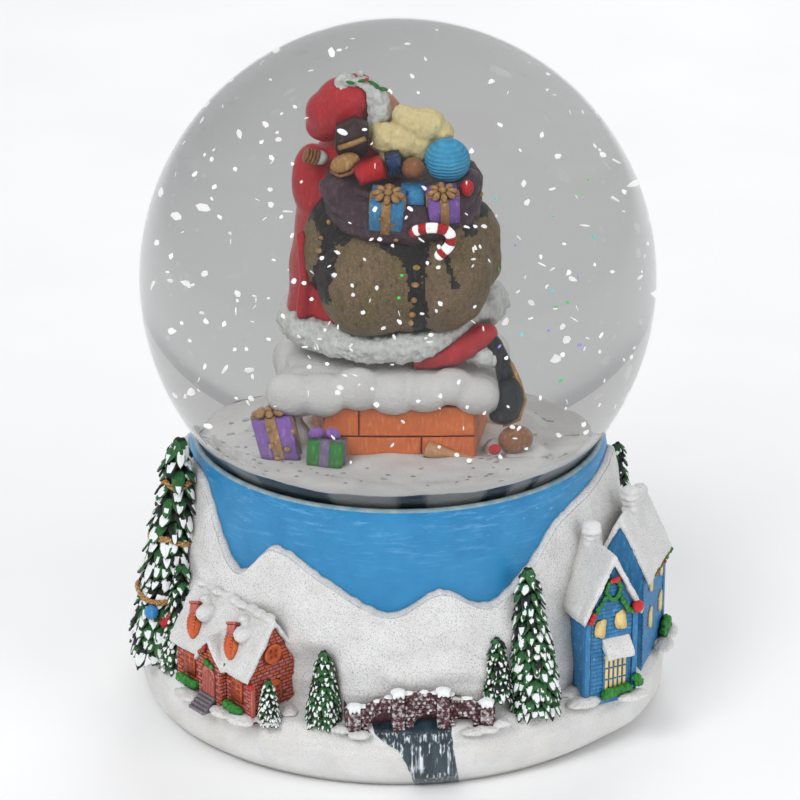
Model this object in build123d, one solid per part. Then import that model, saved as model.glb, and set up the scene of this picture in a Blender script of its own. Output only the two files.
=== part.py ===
from build123d import *
import os
from math import acos, asin, cos, pi, radians, sin, sqrt

# A musical snow globe: a resin base with a relief village, a water-filled glass globe with a
# figure on a chimney in it, and a wind-up tune movement in the hollow of the base.
# Millimetres, +Z up, front = -Y. Origin: centre of the resting plane, on the globe's axis.

# ---- driving sizes -------------------------------------------------------------------------
globe_diameter = 100.0
glass_wall = 2.0
neck_diameter = 66.0
movement_room = 22.6
stopper_flange = 1.8
seat_radius = 39.1
collar_height = 52.3
shelf_height = 13.0
foot_radius = 49.5
belly_swell = 3.2
collar_lip = 1.3
collar_flare = 2.8
snow_thickness = 1.2
bank_foot = 3.6
recess_depth = 13.0
plate_radius = 39.9
plate_thickness = 2.0
plate_ledge = 0.8
plate_screw_angles = (-80, 35, 150)
boss_circle = 37.2
boss_radius = 2.6
boss_height = 9.0
screw_radius = 1.25
screw_head_radius = 2.2
screw_head_height = 1.4
screw_length = 8.0
felt_outer = 48.0
felt_inner = 42.0
felt_thickness = 1.0
felt_proud = 0.2
fit_gap = 0.3
seal_gap = 0.6
running_gap = 0.05
ground_edge_drop = 0.2
ground_height = 5.6

# ---- worked out from them ------------------------------------------------------------------
globe_radius = globe_diameter / 2
water_radius = globe_radius - glass_wall
globe_z = collar_height + sqrt(globe_radius**2 - seat_radius**2)
neck_radius = neck_diameter / 2
neck_top_z = globe_z - sqrt(globe_radius**2 - neck_radius**2)
plate_top_z = recess_depth + plate_thickness
cavity_top_z = plate_top_z + movement_room
neck_bottom_z = cavity_top_z + stopper_flange
cavity_radius = plate_radius - plate_ledge
recess_radius = plate_radius + fit_gap
collar_top_radius = seat_radius + collar_lip
collar_low_radius = collar_top_radius + collar_flare


def revolved(points):
    """Solid of revolution about Z of a closed outline of (radius, height) points."""
    outline = Polyline(*[(r, 0, z) for r, z in points], close=True)
    return revolve(make_face(outline), axis=Axis.Z)


def tube(outer, inner, low, high):
    """Plain ring about Z."""
    return revolved([(inner, low), (outer, low), (outer, high), (inner, high)])


def disc(radius, low, high):
    """Plain cylinder about Z between two heights."""
    return Pos(0, 0, low) * Cylinder(radius, high - low, align=(Align.CENTER, Align.CENTER, Align.MIN))


def block(x0, x1, y0, y1, z0, z1):
    """Box given by its two corners."""
    return Pos((x0 + x1) / 2, (y0 + y1) / 2, (z0 + z1) / 2) * Box(x1 - x0, y1 - y0, z1 - z0)


def ball(radii, centre):
    """Ellipsoid with three half-axes."""
    return Pos(*centre) * scale(Sphere(1), by=radii)


def largest(shape):
    """The biggest solid of a cut, so that no loose sliver is kept."""
    return max(shape.solids(), key=lambda s: s.volume)


def around(radius, angle, height, shape, turn=0.0):
    """Place a shape at an angle from the front, its -Y side facing outwards."""
    place = Pos(radius * sin(radians(angle)), -radius * cos(radians(angle)), height)
    return place * Rot(0, 0, angle + turn) * shape


def export(name, *shapes):
    """Write one node."""
    solids = [s for shape in shapes for s in shape.solids()]
    export_step(Compound(solids), f"parts/{name}.step")


# ---- base castings -------------------------------------------------------------------------
def collar_side(height):
    """Outer radius of the blue collar at a height."""
    share = (collar_height - height) / (collar_height - plate_top_z)
    return collar_top_radius + collar_flare * sin(pi / 2 * min(1.0, share * 1.25))


def collar_outline():
    """Side points of the collar, from its foot to its rim."""
    steps = 12
    rise = collar_height - plate_top_z
    return [(collar_side(plate_top_z + rise * i / steps), plate_top_z + rise * i / steps)
            for i in range(steps + 1)]


def skirt_outline(inset=0.0):
    """Side points of the snow casting: foot, belly, shelf and snow bank, moved in by inset."""
    belly = foot_radius + belly_swell
    low = felt_proud + felt_thickness
    bank = shelf_height + 5.0
    side = [(foot_radius, felt_proud),
            (foot_radius + 0.75 * belly_swell, low + 1.2),
            (belly, shelf_height * 0.45),
            (belly, shelf_height * 0.72),
            (belly - 1.2, shelf_height - 1.0),
            (belly - 3.0, shelf_height)]
    rise = collar_height - bank
    for i in range(9):
        z = bank + rise * i / 8
        side.append((collar_side(z) + snow_thickness + bank_foot * (1 - i / 8) ** 2, z))
    return [(r - inset, z) for r, z in side]


# Snow line on the collar: (angle from the front, height), one wave right round the base.
snow_line = [(-180, 44), (-150, 48), (-125, 42), (-100, 48), (-78, 50.0), (-62, 48.8), (-44, 36.4),
             (-33, 43.1), (-18, 38.5), (-2, 33.0), (10.5, 37.2), (22.5, 33.5), (34, 38.5), (45, 45.4),
             (62, 48.5), (85, 49.5), (110, 43), (140, 47.5), (162, 41)]


def above_snow_line():
    """Everything over the wavy snow line, as a ring to cut the snow casting with."""
    inner, outer = cavity_radius - 6, foot_radius + 16
    top = collar_height + 10

    def wave(radius):
        points = [(radius * sin(radians(a)), -radius * cos(radians(a)), z) for a, z in snow_line]
        return Edge.make_spline(points, periodic=True)

    def level(radius):
        points = [(radius * sin(radians(a)), -radius * cos(radians(a)), top) for a, z in snow_line]
        return Edge.make_spline(points, periodic=True)

    rails = [(wave(inner), wave(outer)), (wave(outer), level(outer)),
             (level(outer), level(inner)), (level(inner), wave(inner))]
    faces = [Face.make_surface_from_curves(a, b) for a, b in rails]
    return Solid(Shell(faces))


def blue_collar():
    """The painted collar: glass seat on top, bore for the neck, hollow for the movement."""
    seat = globe_radius + seal_gap
    steps = 6
    low_angle = asin((neck_radius + seal_gap) / seat)
    high_angle = acos((globe_z - collar_height) / seat)
    rim = [(seat * sin(low_angle + (high_angle - low_angle) * i / steps),
            globe_z - seat * cos(low_angle + (high_angle - low_angle) * i / steps))
           for i in range(steps, -1, -1)]
    inside = [(neck_radius + seal_gap, cavity_top_z),
              (cavity_radius - 3, cavity_top_z),
              (cavity_radius, cavity_top_z - 3),
              (cavity_radius, plate_top_z)]
    shell = revolved(collar_outline() + rim + inside)
    bosses = [around(boss_circle, a, plate_top_z, disc(boss_radius, 0, boss_height))
              for a in plate_screw_angles]
    envelope = disc(cavity_radius + 1, plate_top_z, plate_top_z + boss_height)
    pilots = [around(boss_circle, a, plate_top_z, disc(screw_radius, 0, screw_length - plate_thickness))
              for a in plate_screw_angles]
    return shell + (Compound(bosses) & envelope) - Compound(pilots)


def snow_skirt(cuts):
    """The white casting: foot, belly, shelf and snow bank, with the key recess under it."""
    inside = list(reversed(collar_outline()))
    outline = skirt_outline() + inside + [(recess_radius, plate_top_z), (recess_radius, felt_proud)]
    body = revolved(outline)
    groove = tube(felt_outer + fit_gap, felt_inner - fit_gap, 0, felt_thickness)
    body = body - above_snow_line() - groove
    for cut in cuts:
        body = body - cut
    return largest(body)


def felt_ring():
    """Felt foot glued in the groove under the base."""
    return tube(felt_outer, felt_inner, 0, felt_thickness)


# ---- village on the base -------------------------------------------------------------------
stream_depth = 1.2
stream_proud = 0.2
stream_face = [(-6, 14.5), (10.8, 14.5), (11.9, -1), (3, -1), (1.2, 6), (-2.5, 11)]
bridge_angle = 4.8
bridge_radius = 48.3
bridge_length = 28.0
bridge_depth = 4.2
bridge_end_height = 4.2
bridge_crown = 8.4
arches = [(-6.2, 3.3), (1.4, 2.6), (8.2, 1.9)]
post_width = 2.2


def stream():
    """Slate-coloured waterfall laid into the front of the snow casting."""
    def shell(inset):
        return revolved([(cavity_radius + 1, felt_proud)] + skirt_outline(inset)
                        + [(cavity_radius + 1, collar_height)])
    prism = extrude(Plane.XZ * make_face(Polyline(*stream_face, close=True)), 2 * foot_radius)
    return largest((shell(-stream_proud) - shell(stream_depth)) & prism)


def bridge():
    """Stone bridge with three arches and posts, in front of the snow bank."""
    half = bridge_length / 2
    deck = [(-half, -1.5), (half, -1.5), (half, bridge_end_height), (half * 0.45, bridge_crown - 0.9),
            (0, bridge_crown), (-half * 0.45, bridge_crown - 0.9), (-half, bridge_end_height)]
    body = extrude(Plane.XZ * make_face(Polyline(*deck, close=True)), bridge_depth / 2, both=True)
    for x in (-half + 1.6, -half * 0.3, half * 0.3, half - 1.6):
        top = bridge_end_height + 0.6 if abs(x) > half / 2 else bridge_crown
        body = body + block(x - post_width / 2, x + post_width / 2,
                            -bridge_depth / 2 - 0.7, 0, -1.5, top)
    for x, radius in arches:
        body = body - Pos(x, 0, -0.2) * Rot(90, 0, 0) * Cylinder(radius, 3 * bridge_depth)
    return around(bridge_radius, bridge_angle, shelf_height, body)


def gabled(length, width, base, eaves, ridge):
    """House block with its ridge along X."""
    half = width / 2
    end = Polyline((-half, base), (half, base), (half, eaves), (0, ridge), (-half, eaves), close=True)
    return extrude(Plane.YZ * make_face(end), length / 2, both=True)


def pitched_roof(length, width, eaves, ridge, thickness, overhang):
    """Roof slab that sits on a gabled block."""
    half = width / 2 + overhang
    drop = (ridge - eaves) / (width / 2) * overhang
    end = Polyline((-half, eaves - drop), (0, ridge), (half, eaves - drop),
                   (half, eaves - drop + thickness), (0, ridge + thickness),
                   (-half, eaves - drop + thickness), close=True)
    return extrude(Plane.YZ * make_face(end), length / 2 + overhang, both=True)


# Brick cottage: its gable faces +X of its own frame, its long front faces -Y of it.
cottage_place = (45.1, -41.9, -8.4)
cottage_length = 23.0
cottage_width = 11.0
cottage_eaves = 9.0
cottage_ridge = 17.4
porch_along = 0.8
porch_width = 6.6
porch_depth = 1.6
porch_eaves = 7.6
porch_ridge = 12.2
roof_thickness = 1.5
roof_overhang = 1.3
dormers = (-6.6, 5.4)
dormer_width = 3.4


def on_cottage(shape):
    """From the cottage's own frame to the base."""
    radius, angle, turn = cottage_place
    return around(radius, angle, shelf_height, shape, turn)


def porch():
    """Cross gable of the cottage's long front."""
    depth = cottage_width / 2 + porch_depth
    part = gabled(depth, porch_width, -2, porch_eaves, porch_ridge)
    return Pos(porch_along, -depth / 2, 0) * Rot(0, 0, 90) * part


def cottage_walls():
    return on_cottage(gabled(cottage_length, cottage_width, -2, cottage_eaves, cottage_ridge) + porch())


def dormer_blocks():
    """Round-headed dormer windows standing out of the long roof slope."""
    parts = []
    for x in dormers:
        low = cottage_eaves + 1.6
        y0 = -cottage_width / 2 - 0.4
        body = block(x - dormer_width / 2, x + dormer_width / 2, y0, -0.8, low, low + 3.2)
        head = Pos(x, (y0 - 0.8) / 2, low + 3.2) * Rot(90, 0, 0) * Cylinder(dormer_width / 2, -0.8 - y0)
        parts.append(on_cottage(body + head))
    return parts


def cottage_roof():
    main = pitched_roof(cottage_length, cottage_width, cottage_eaves, cottage_ridge,
                        roof_thickness, roof_overhang)
    depth = cottage_width / 2 + porch_depth
    cross = pitched_roof(depth, porch_width, porch_eaves, porch_ridge, roof_thickness, 0.6)
    cross = Pos(porch_along, -depth / 2, 0) * Rot(0, 0, 90) * cross
    return on_cottage(main + cross)


def cottage_windows():
    """Arched window plates, a round gable window and the door, a little proud of the brick."""
    proud = 0.35
    parts = []

    def arched(width, height):
        body = block(-width / 2, width / 2, -proud, 0, 0, height)
        return body + Pos(0, -proud / 2, height) * Rot(90, 0, 0) * Cylinder(width / 2, proud)

    gable_x = cottage_length / 2
    gable_y = -cottage_width * 0.1
    parts.append(Pos(gable_x, gable_y, 2.6) * Rot(0, 0, 90) * arched(4.2, 2.6))
    round_window = Pos(gable_x + proud / 2, -0.3, 11.6) * Rot(0, 90, 0) * Cylinder(1.9, proud)
    parts.append(round_window)
    for x in (-cottage_length / 2 + 4.2, porch_along + porch_width / 2 + 3.6):
        parts.append(Pos(x, -cottage_width / 2, 3.0) * arched(2.8, 2.4))
    parts.append(Pos(porch_along, -cottage_width / 2 - porch_depth, 1.0) * arched(3.0, 4.0))
    return [on_cottage(p) for p in parts]


def cottage_steps():
    """Two grey steps before the porch."""
    y = -cottage_width / 2 - porch_depth
    flight = block(porch_along - 2, porch_along + 2, y - 1.6, y, -1.5, 1.0)
    flight = flight + block(porch_along - 2, porch_along + 2, y - 3.0, y - 1.6, -1.5, 0.2)
    return on_cottage(flight)


# Blue house: a front block with its gable facing outwards and a wing behind it.
front_place = (47.6, 50.7, -23.9)
front_length = 15.0
front_width = 10.2
front_eaves = 17.6
front_ridge = 27.2
wing_place = (47.4, 71.6, 0.0)
wing_length = 15.5
wing_width = 9.6
wing_eaves = 18.6
wing_ridge = 28.4
house_roof_thickness = 2.0
canopy_width = 5.6


def on_front(shape):
    """Front block's frame: its ridge along Y there, the gable facing -Y."""
    radius, angle, turn = front_place
    return around(radius, angle, shelf_height, shape, turn)


def on_wing(shape):
    radius, angle, turn = wing_place
    return around(radius, angle, shelf_height, shape, turn)


def blue_house():
    front = Rot(0, 0, 90) * gabled(front_length, front_width, -2, front_eaves, front_ridge)
    wing = gabled(wing_length, wing_width, -2, wing_eaves, wing_ridge)
    return on_front(front) + on_wing(wing)


def blue_house_roof():
    front = Rot(0, 0, 90) * pitched_roof(front_length, front_width, front_eaves, front_ridge,
                                         house_roof_thickness, 0.9)
    wing = pitched_roof(wing_length, wing_width, wing_eaves, wing_ridge, house_roof_thickness, 0.9)
    return on_front(front) + on_wing(wing)


def house_chimneys():
    """Two snow-topped chimneys: one on the front block, one on the wing."""
    front = on_front(block(-1.5, 1.5, -0.5, 2.5, front_ridge - 2, front_ridge + 4.4))
    wing = on_wing(block(-2.6, 0.4, -1.5, 1.5, wing_ridge - 2, wing_ridge + 3.6))
    return [front, wing]


def house_windows():
    """Pale yellow window plates on the gable and on the wing."""
    proud = 0.35
    face = -front_length / 2
    parts = [on_front(block(x - 1.3, x + 1.3, face - proud, face, 12.6, 16.6)) for x in (-2.7, 2.3)]
    for x in (-4.6, 3.4):
        for z in (4.6, 12.2):
            parts.append(on_wing(block(x - 1.2, x + 1.2, -wing_width / 2 - proud, -wing_width / 2,
                                       z, z + 4.0)))
    return parts


def house_door():
    """Lattice door on the front block."""
    face = -front_length / 2
    return on_front(block(-1.3, 3.3, face - 0.4, face, 1.2, 8.0))


def door_canopy():
    """Snow-covered canopy over the door."""
    face = -front_length / 2
    side = Polyline((0, 10.6), (-2.2, 8.2), (-2.2, 9.2), (0, 11.8), close=True)
    slab = extrude(Plane.YZ * make_face(side), canopy_width / 2, both=True)
    return on_front(Pos(1.0, face, 0) * slab)


def house_wreath():
    """Green wreath in the gable."""
    face = -front_length / 2
    ring = Rot(90, 0, 0) * tube(1.8, 0.9, 0, 0.8)
    return on_front(Pos(0, face, front_eaves + 4.2) * ring)


def hedges():
    """Low clipped bushes at the feet of both houses."""
    parts = [on_cottage(ball((2.6, 1.0, 1.1), (x, -cottage_width / 2 - 1.0, 0.9))) for x in (-7.4, 7.6)]
    parts += [on_front(ball((rx, 1.1, 1.2), (x, -front_length / 2 - 1.1, 0.9)))
              for x, rx in ((-2.4, 1.6), (4.4, 1.9))]
    parts.append(on_wing(ball((2.2, 1.1, 1.3), (5.6, -wing_width / 2 - 1.0, 1.0))))
    return parts


def conifer(height, radius, tiers):
    """Snow-laden fir: a stack of skirts that narrow towards the tip."""
    trunk = 0.06 * height
    outline = [(0, 0), (radius * 0.4, 0), (radius * 0.4, trunk)]
    rise = (height - trunk) / tiers
    for i in range(tiers):
        low = radius * (1 - i / tiers)
        outline.append((low, trunk + i * rise))
        if i < tiers - 1:
            outline.append((radius * (1 - (i + 1) / tiers) * 0.72, trunk + (i + 1) * rise))
    outline.append((0, height))
    return revolved(outline)


def planted(radius, angle, foot, height, spread, tiers, lean=0.0):
    """A fir on the base, leaning towards the globe by some degrees."""
    return around(radius, angle, shelf_height + foot, Rot(-lean, 0, 0) * conifer(height, spread, tiers))


# Rows: radius, angle, foot above the shelf, height, spread, tiers, lean.
trees = {
    "tall_tree_left": [(49.6, -67.6, -0.4, 45.0, 6.4, 8, 6.0)],
    "narrow_tree_left": [(49.4, -60.4, -0.6, 21.5, 3.3, 6, 5.0)],
    "small_trees": [(52.6, -27.4, -0.8, 8.8, 2.2, 4, 0.0), (49.4, -16.4, -0.4, 14.4, 3.8, 5, 3.0),
                    (48.2, 23.0, 3.4, 12.0, 3.1, 5, 5.0)],
    "tall_tree_right": [(50.0, 31.2, 0.2, 28.0, 5.3, 7, 7.0)],
    "back_trees": [(45.6, 96.0, 21.0, 16.0, 3.2, 5, 0.0), (49.6, 150.0, -0.2, 24.0, 5.2, 6, 5.0),
                   (50.4, 163.0, -0.4, 15.0, 3.8, 5, 3.0), (49.8, -140.0, -0.2, 29.0, 5.4, 7, 6.0),
                   (50.6, -124.0, -0.4, 16.0, 3.8, 5, 4.0)],
}
garland_heights = (0.16, 0.47, 0.72)


def tree_garlands():
    """Three gold garlands round the tall tree."""
    radius, angle, foot, height, spread, tiers, lean = trees["tall_tree_left"][0]
    rings = []
    for share in garland_heights:
        outer = spread * (1.06 - share) + 0.6
        ring = Pos(0, 0, height * share) * tube(outer, outer - 1.4, -0.5, 0.5)
        rings.append(around(radius, angle, shelf_height + foot, Rot(-lean, 0, 0) * ring))
    return rings


# ---- globe ---------------------------------------------------------------------------------
def globe_envelope(radius, neck, foot):
    """Solid sphere cut off where it meets its neck, with the neck below it."""
    cut = globe_z - sqrt(radius**2 - neck**2)
    bulb = Pos(0, 0, globe_z) * Sphere(radius) - disc(radius, globe_z - radius - 1, cut)
    return bulb + disc(neck, foot, cut)


def glass_globe():
    outer = globe_envelope(globe_radius, neck_radius, neck_bottom_z)
    inner = globe_envelope(water_radius, neck_radius - glass_wall, neck_bottom_z - 1)
    return outer - inner


def globe_seal(collar):
    """Clear sealant between the glass and the collar."""
    ring = tube(collar_top_radius, neck_radius - 1, neck_bottom_z + 1, collar_height - 0.8)
    return largest(ring - collar - globe_envelope(globe_radius, neck_radius, neck_bottom_z))


def rubber_stopper():
    plug = disc(neck_radius - glass_wall, neck_bottom_z, neck_top_z)
    flange = disc(neck_radius, neck_bottom_z - stopper_flange, neck_bottom_z)
    return largest((plug & Pos(0, 0, globe_z) * Sphere(water_radius)) + flange)


def snow_ground():
    """White mound glued on the stopper, the figure's ground."""
    edge = collar_height - ground_edge_drop
    top = edge + ground_height
    wide = globe_radius
    mound = revolved([(0, neck_top_z), (wide, neck_top_z), (wide, edge), (globe_radius * 0.6, edge + 1.0),
                      (globe_radius * 0.4, edge + ground_height * 0.55), (15, top), (0, top)])
    return mound & Pos(0, 0, globe_z) * Sphere(water_radius - fit_gap)


def water_fill(ground):
    """The water: all of the glass above the stopper but for the mound."""
    room = Pos(0, 0, globe_z) * Sphere(water_radius)
    return largest((room & disc(globe_radius, neck_top_z, globe_z + globe_radius)) - ground)


flake_count = 48
flake_radius = 0.6
flake_thickness = 0.15


def snow_flakes():
    """White flakes afloat in the water, spread by the golden angle."""
    flakes = []
    for i in range(flake_count):
        height = -0.35 + 1.25 * (i + 0.5) / flake_count
        out = 38 + 7 * ((i * 0.618) % 1)
        flat = sqrt(max(0.0, 1 - height**2)) * out
        place = Pos(flat * cos(i * 2.4), flat * sin(i * 2.4), globe_z + out * height)
        flakes.append(place * Rot(37 * i % 90, 53 * i % 90, 0)
                      * extrude(RegularPolygon(flake_radius, 6), flake_thickness))
    return flakes


# ---- figure in the globe -------------------------------------------------------------------
# The figure's heights are drawn for this ground; seated() moves them to the mound as built.
figure_ground = 57.7
stack_foot = 4.4
drift_foot = 3.4
figure_lift = collar_height - ground_edge_drop + ground_height - figure_ground
stack_x = (-11.5, 12.3)
stack_y = (-12.0, 10.0)
stack_top = 66.4
cap_top = 72.8
coat_top = 101.0


def seated(shape):
    """The shape at the height of the mound."""
    return Pos(0, 0, figure_lift) * shape


def chimney_bricks():
    """Brick chimney standing in the snow."""
    return seated(block(*stack_x, *stack_y, figure_ground - stack_foot, stack_top))


def chimney_snow():
    """Thick snow on the chimney, with a drift down its left side."""
    cap = block(-17.6, 13.9, -13.4, 11.4, stack_top, cap_top)
    cap = fillet(cap.edges(), 2.2)
    drift = block(-16.6, stack_x[0], -9.5, 9.0, figure_ground - drift_foot, stack_top + 3)
    return seated(cap + drift)


def red_coat():
    """Coat: an upright oval bell from the hem to the shoulders."""
    body = Pos(-1, 1.5, cap_top + 4.5) * extrude(Ellipse(15.2, 11.0), coat_top - cap_top - 4.5, taper=13)
    return seated(body + ball((9.0, 7.5, 6.0), (-4, 2.5, coat_top - 2)))


def coat_fur():
    """White fur hem of the coat."""
    return seated(Pos(-0.3, 0.6, cap_top) * extrude(Ellipse(16.8, 12.6), 4.5))


def trousers():
    """Right leg over the edge of the chimney."""
    return seated(Pos(12.6, -6.5, cap_top) * Rot(0, 64, 0) * Cylinder(3.0, 9.0))


def boots():
    """Black boot hanging at the chimney's side."""
    shaft = Pos(16.6, -6.0, 71.5) * Cylinder(2.1, 8.0)
    foot = ball((2.4, 3.8, 2.0), (17.2, -7.2, 66.6))
    return seated(shaft + foot)


def head():
    """Plain head, turned away from the front."""
    return seated(ball((5.0, 5.2, 5.8), (-4.2, 4.0, 106.6)))


def beard():
    return seated(ball((4.6, 3.6, 5.6), (-3.4, 8.4, 102.4)))


def hat():
    """Red cap with its bag falling to the left."""
    return seated(ball((6.6, 6.0, 7.0), (-9.6, 3.4, 109.6)))


def hat_fur():
    """Fur band of the cap."""
    return seated(Pos(-3.6, 4.0, 111.2) * Rot(0, 58, 0) * Torus(4.6, 1.7))


sack_centre = (0.8, -7.0, 88.4)
sack_radii = (13.3, 10.0, 11.0)
cuff_centre = (0.8, -6.6, 99.4)


def toy_sack():
    """Full toy sack on the figure's back."""
    return seated(ball(sack_radii, sack_centre))


def sack_cuff():
    """Rolled cuff round the mouth of the sack."""
    return seated(Pos(*cuff_centre) * Rot(14, 0, 0) * extrude(Ellipse(12.2, 9.6), 5.2))


# Wrapped presents: size, centre and turns about X, Y and Z.
sack_boxes = [((7.0, 5.4, 8.2), (-1.8, -12.0, 104.6), (14, 4, -8)),
              ((6.6, 5.4, 6.2), (7.2, -11.0, 104.0), (12, -6, 10)),
              ((4.6, 4.0, 4.2), (-4.6, -7.4, 108.4), (20, 12, -14))]
floor_boxes = [((7.4, 7.0, 8.0), (-18.4, -9.0, 61.0), (6, 8, 24)),
               ((6.0, 5.6, 6.0), (-10.6, -15.4, 59.8), (4, 2, -16)),
               ((5.0, 5.0, 5.0), (20.0, 12.0, 58.4), (0, 0, 20))]
# Toy balls: radius and centre.
toy_ball_list = [(3.6, (8.4, -5.6, 109.0)), (1.8, (2.6, -8.4, 110.6)), (2.2, (-9.6, -8.4, 106.4))]


def boxes(rows):
    """Wrapped presents from rows of size, centre and turns."""
    return [seated(Pos(*centre) * Rot(*turns) * Box(*size)) for size, centre, turns in rows]


def toy_balls():
    return [seated(ball((r, r, r), centre)) for r, centre in toy_ball_list]


def candy_cane():
    """Hooked cane over the sack's edge."""
    bend = (8.6, -17.0, 96.2)
    path = Polyline((5.4, -17.2, 93.0), bend) + RadiusArc(bend, (2.6, -17.0, 99.2), -3.6)
    return seated(sweep(Plane(origin=path @ 0, z_dir=path % 0) * Circle(0.9), path=path))


def plush_toy():
    """Yellow plush toy looking out of the sack."""
    return seated(ball((6.4, 3.8, 4.6), (3.0, -1.8, 110.2)))


# ---- tune movement -------------------------------------------------------------------------
bed_top = plate_top_z + 2.0
crown_module = 0.6
crown_teeth = 36
pinion_teeth = 12
wheel_module = 0.4
cylinder_teeth = 28
governor_teeth = 10
worm_module = 0.5
worm_wheel_teeth = 20
worm_pitch_radius = 1.5
crown_radius = crown_module * crown_teeth / 2
pinion_radius = crown_module * pinion_teeth / 2
drum_radius = 11.0
drum_wall = 0.8
lid_thickness = 1.0
drum_low = bed_top + 0.6
drum_height = 8.4
crown_tooth = 1.1
crown_top = drum_low + drum_height + crown_tooth
crown_pitch_z = crown_top - 0.5
shaft_z = crown_pitch_z + pinion_radius
arbor_radius = 1.5
shaft_radius = 0.8
pivot_radius = 0.45
governor_shaft_radius = 0.55
cylinder_radius = 5.5
cylinder_start = crown_radius + 3.4
cylinder_length = 12.0
cylinder_end = cylinder_start + cylinder_length
pin_height = 0.5
comb_teeth = 18
gear_x = cylinder_end + 0.9
gear_width = 1.2
governor_y = wheel_module * (cylinder_teeth + governor_teeth) / 2
worm_wheel_radius = worm_module * worm_wheel_teeth / 2
worm_wheel_x = gear_x + 3.5
worm_x = worm_wheel_x + gear_width / 2
worm_y = governor_y + worm_wheel_radius + worm_pitch_radius
worm_lead = pi * worm_module
fly_radius = 3.2


def gear(teeth, module, width, phase=0.0):
    """Spur gear on the X axis, a tooth at the phase angle from +Y. Trapezoid teeth with backlash."""
    pitch = module * teeth / 2
    tip, root = pitch + 0.8 * module, pitch - 1.15 * module
    step = 360 / teeth
    points = []
    for i in range(teeth):
        middle = phase + i * step
        for radius, share in ((root, -0.27), (tip, -0.09), (tip, 0.09), (root, 0.27)):
            a = radians(middle + share * step)
            points.append((radius * cos(a), radius * sin(a)))
    return extrude(Plane.YZ * make_face(Polyline(*points, close=True)), width)


def spring_barrel():
    """Brass drum with a crown of teeth on its lid; it turns round the arbor."""
    bore = arbor_radius + running_gap
    lid_low = drum_low + drum_height - lid_thickness
    cup = revolved([(bore, drum_low), (drum_radius, drum_low), (drum_radius, lid_low),
                    (drum_radius - drum_wall, lid_low), (drum_radius - drum_wall, drum_low + drum_wall),
                    (bore, drum_low + drum_wall)])
    rim = crown_radius + 1.0
    lid = tube(rim, bore, lid_low, drum_low + drum_height)
    pitch = 2 * pi * crown_radius / crown_teeth
    base, crest = 0.22 * pitch, 0.12 * pitch
    face = Polyline((-base, 0), (base, 0), (crest, crown_tooth), (-crest, crown_tooth), close=True)
    tooth = extrude(Plane.YZ * make_face(face), 2.0)
    tooth = Pos(crown_radius - 1.0, 0, drum_low + drum_height) * tooth
    crown = [Rot(0, 0, (i + 0.5) * 360 / crown_teeth) * tooth for i in range(crown_teeth)]
    return [cup, (lid + crown) & disc(rim, lid_low, crown_top)]


def mainspring():
    """Coiled strip in the drum."""
    low, turns, steps = 2.4, 7, 20
    pitch = (drum_radius - drum_wall - fit_gap - low) / turns
    inner, outer = [], []
    for i in range(turns * steps + 1):
        a = 2 * pi * i / steps
        r = low + pitch * i / steps
        inner.append((r * cos(a), r * sin(a)))
        outer.append(((r + 0.3) * cos(a), (r + 0.3) * sin(a)))
    face = make_face(Polyline(*(inner[:-steps // 4] + outer[:-steps // 4][::-1]), close=True))
    height = drum_height - drum_wall - lid_thickness - 2 * fit_gap
    return Pos(0, 0, drum_low + drum_wall + fit_gap) * extrude(face, height)


key_low = 1.6
key_wing = 20.0
key_wing_height = 7.2
key_thickness = 2.0
key_hub = 2.8


def winding_arbor():
    return disc(arbor_radius, key_low + 3.5, drum_low + drum_height + 0.8)


def winding_key():
    """Butterfly key screwed on the arbor, in the recess under the base."""
    wing = block(-key_wing / 2, key_wing / 2, -key_thickness / 2, key_thickness / 2,
                 key_low, key_low + key_wing_height)
    wing = fillet(wing.edges().filter_by(Axis.Y), 2.6)
    hub = disc(key_hub, key_low, recess_depth - 1.2)
    holes = [Pos(x, 0, key_low + key_wing_height / 2) * Rot(90, 0, 0) * Cylinder(2.0, 4 * key_thickness)
             for x in (-6.2, 6.2)]
    return wing + hub - Compound(holes) - disc(arbor_radius, key_low + 3.5, recess_depth)


def pinned_cylinder():
    """Tune cylinder with its pins, shaft, pinion and gear."""
    def along(radius, start, length):
        return Pos(start + length / 2, 0, 0) * Rot(0, 90, 0) * Cylinder(radius, length)

    drum = along(cylinder_radius, cylinder_start, cylinder_length)
    drum = drum - along(cylinder_radius - 0.7, cylinder_start - 1, cylinder_length)
    shaft = along(shaft_radius, cylinder_start - 4.4, cylinder_length + 8.3)
    pins = []
    for i in range(40):
        x = cylinder_start + cylinder_length * ((i * 7) % comb_teeth + 0.5) / comb_teeth
        pin = Pos(x, 0, cylinder_radius + pin_height / 2 - 0.1) * Cylinder(0.16, pin_height + 0.2)
        pins.append(Rot(i * 137.5 % 360, 0, 0) * pin)
    pinion = Pos(crown_radius - 0.8, 0, 0) * gear(pinion_teeth, crown_module, 1.6)
    wheel = Pos(gear_x, 0, 0) * gear(cylinder_teeth, wheel_module, gear_width)
    return Pos(0, 0, shaft_z) * (drum + shaft + pinion + wheel + pins)


def governor_wheel():
    """Second arbor: pinion driven by the cylinder, wheel that drives the worm."""
    shaft_length = worm_wheel_x + gear_width + 1.9 - (gear_x - 2.2)
    shaft = Rot(0, 90, 0) * Cylinder(governor_shaft_radius, shaft_length)
    shaft = Pos(gear_x - 2.2 + shaft_length / 2, 0, 0) * shaft
    pinion = Pos(gear_x, 0, 0) * gear(governor_teeth, wheel_module, gear_width, 180 / governor_teeth)
    wheel = Pos(worm_wheel_x, 0, 0) * gear(worm_wheel_teeth, worm_module, gear_width)
    return Pos(0, governor_y, shaft_z) * (shaft + pinion + wheel)


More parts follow.
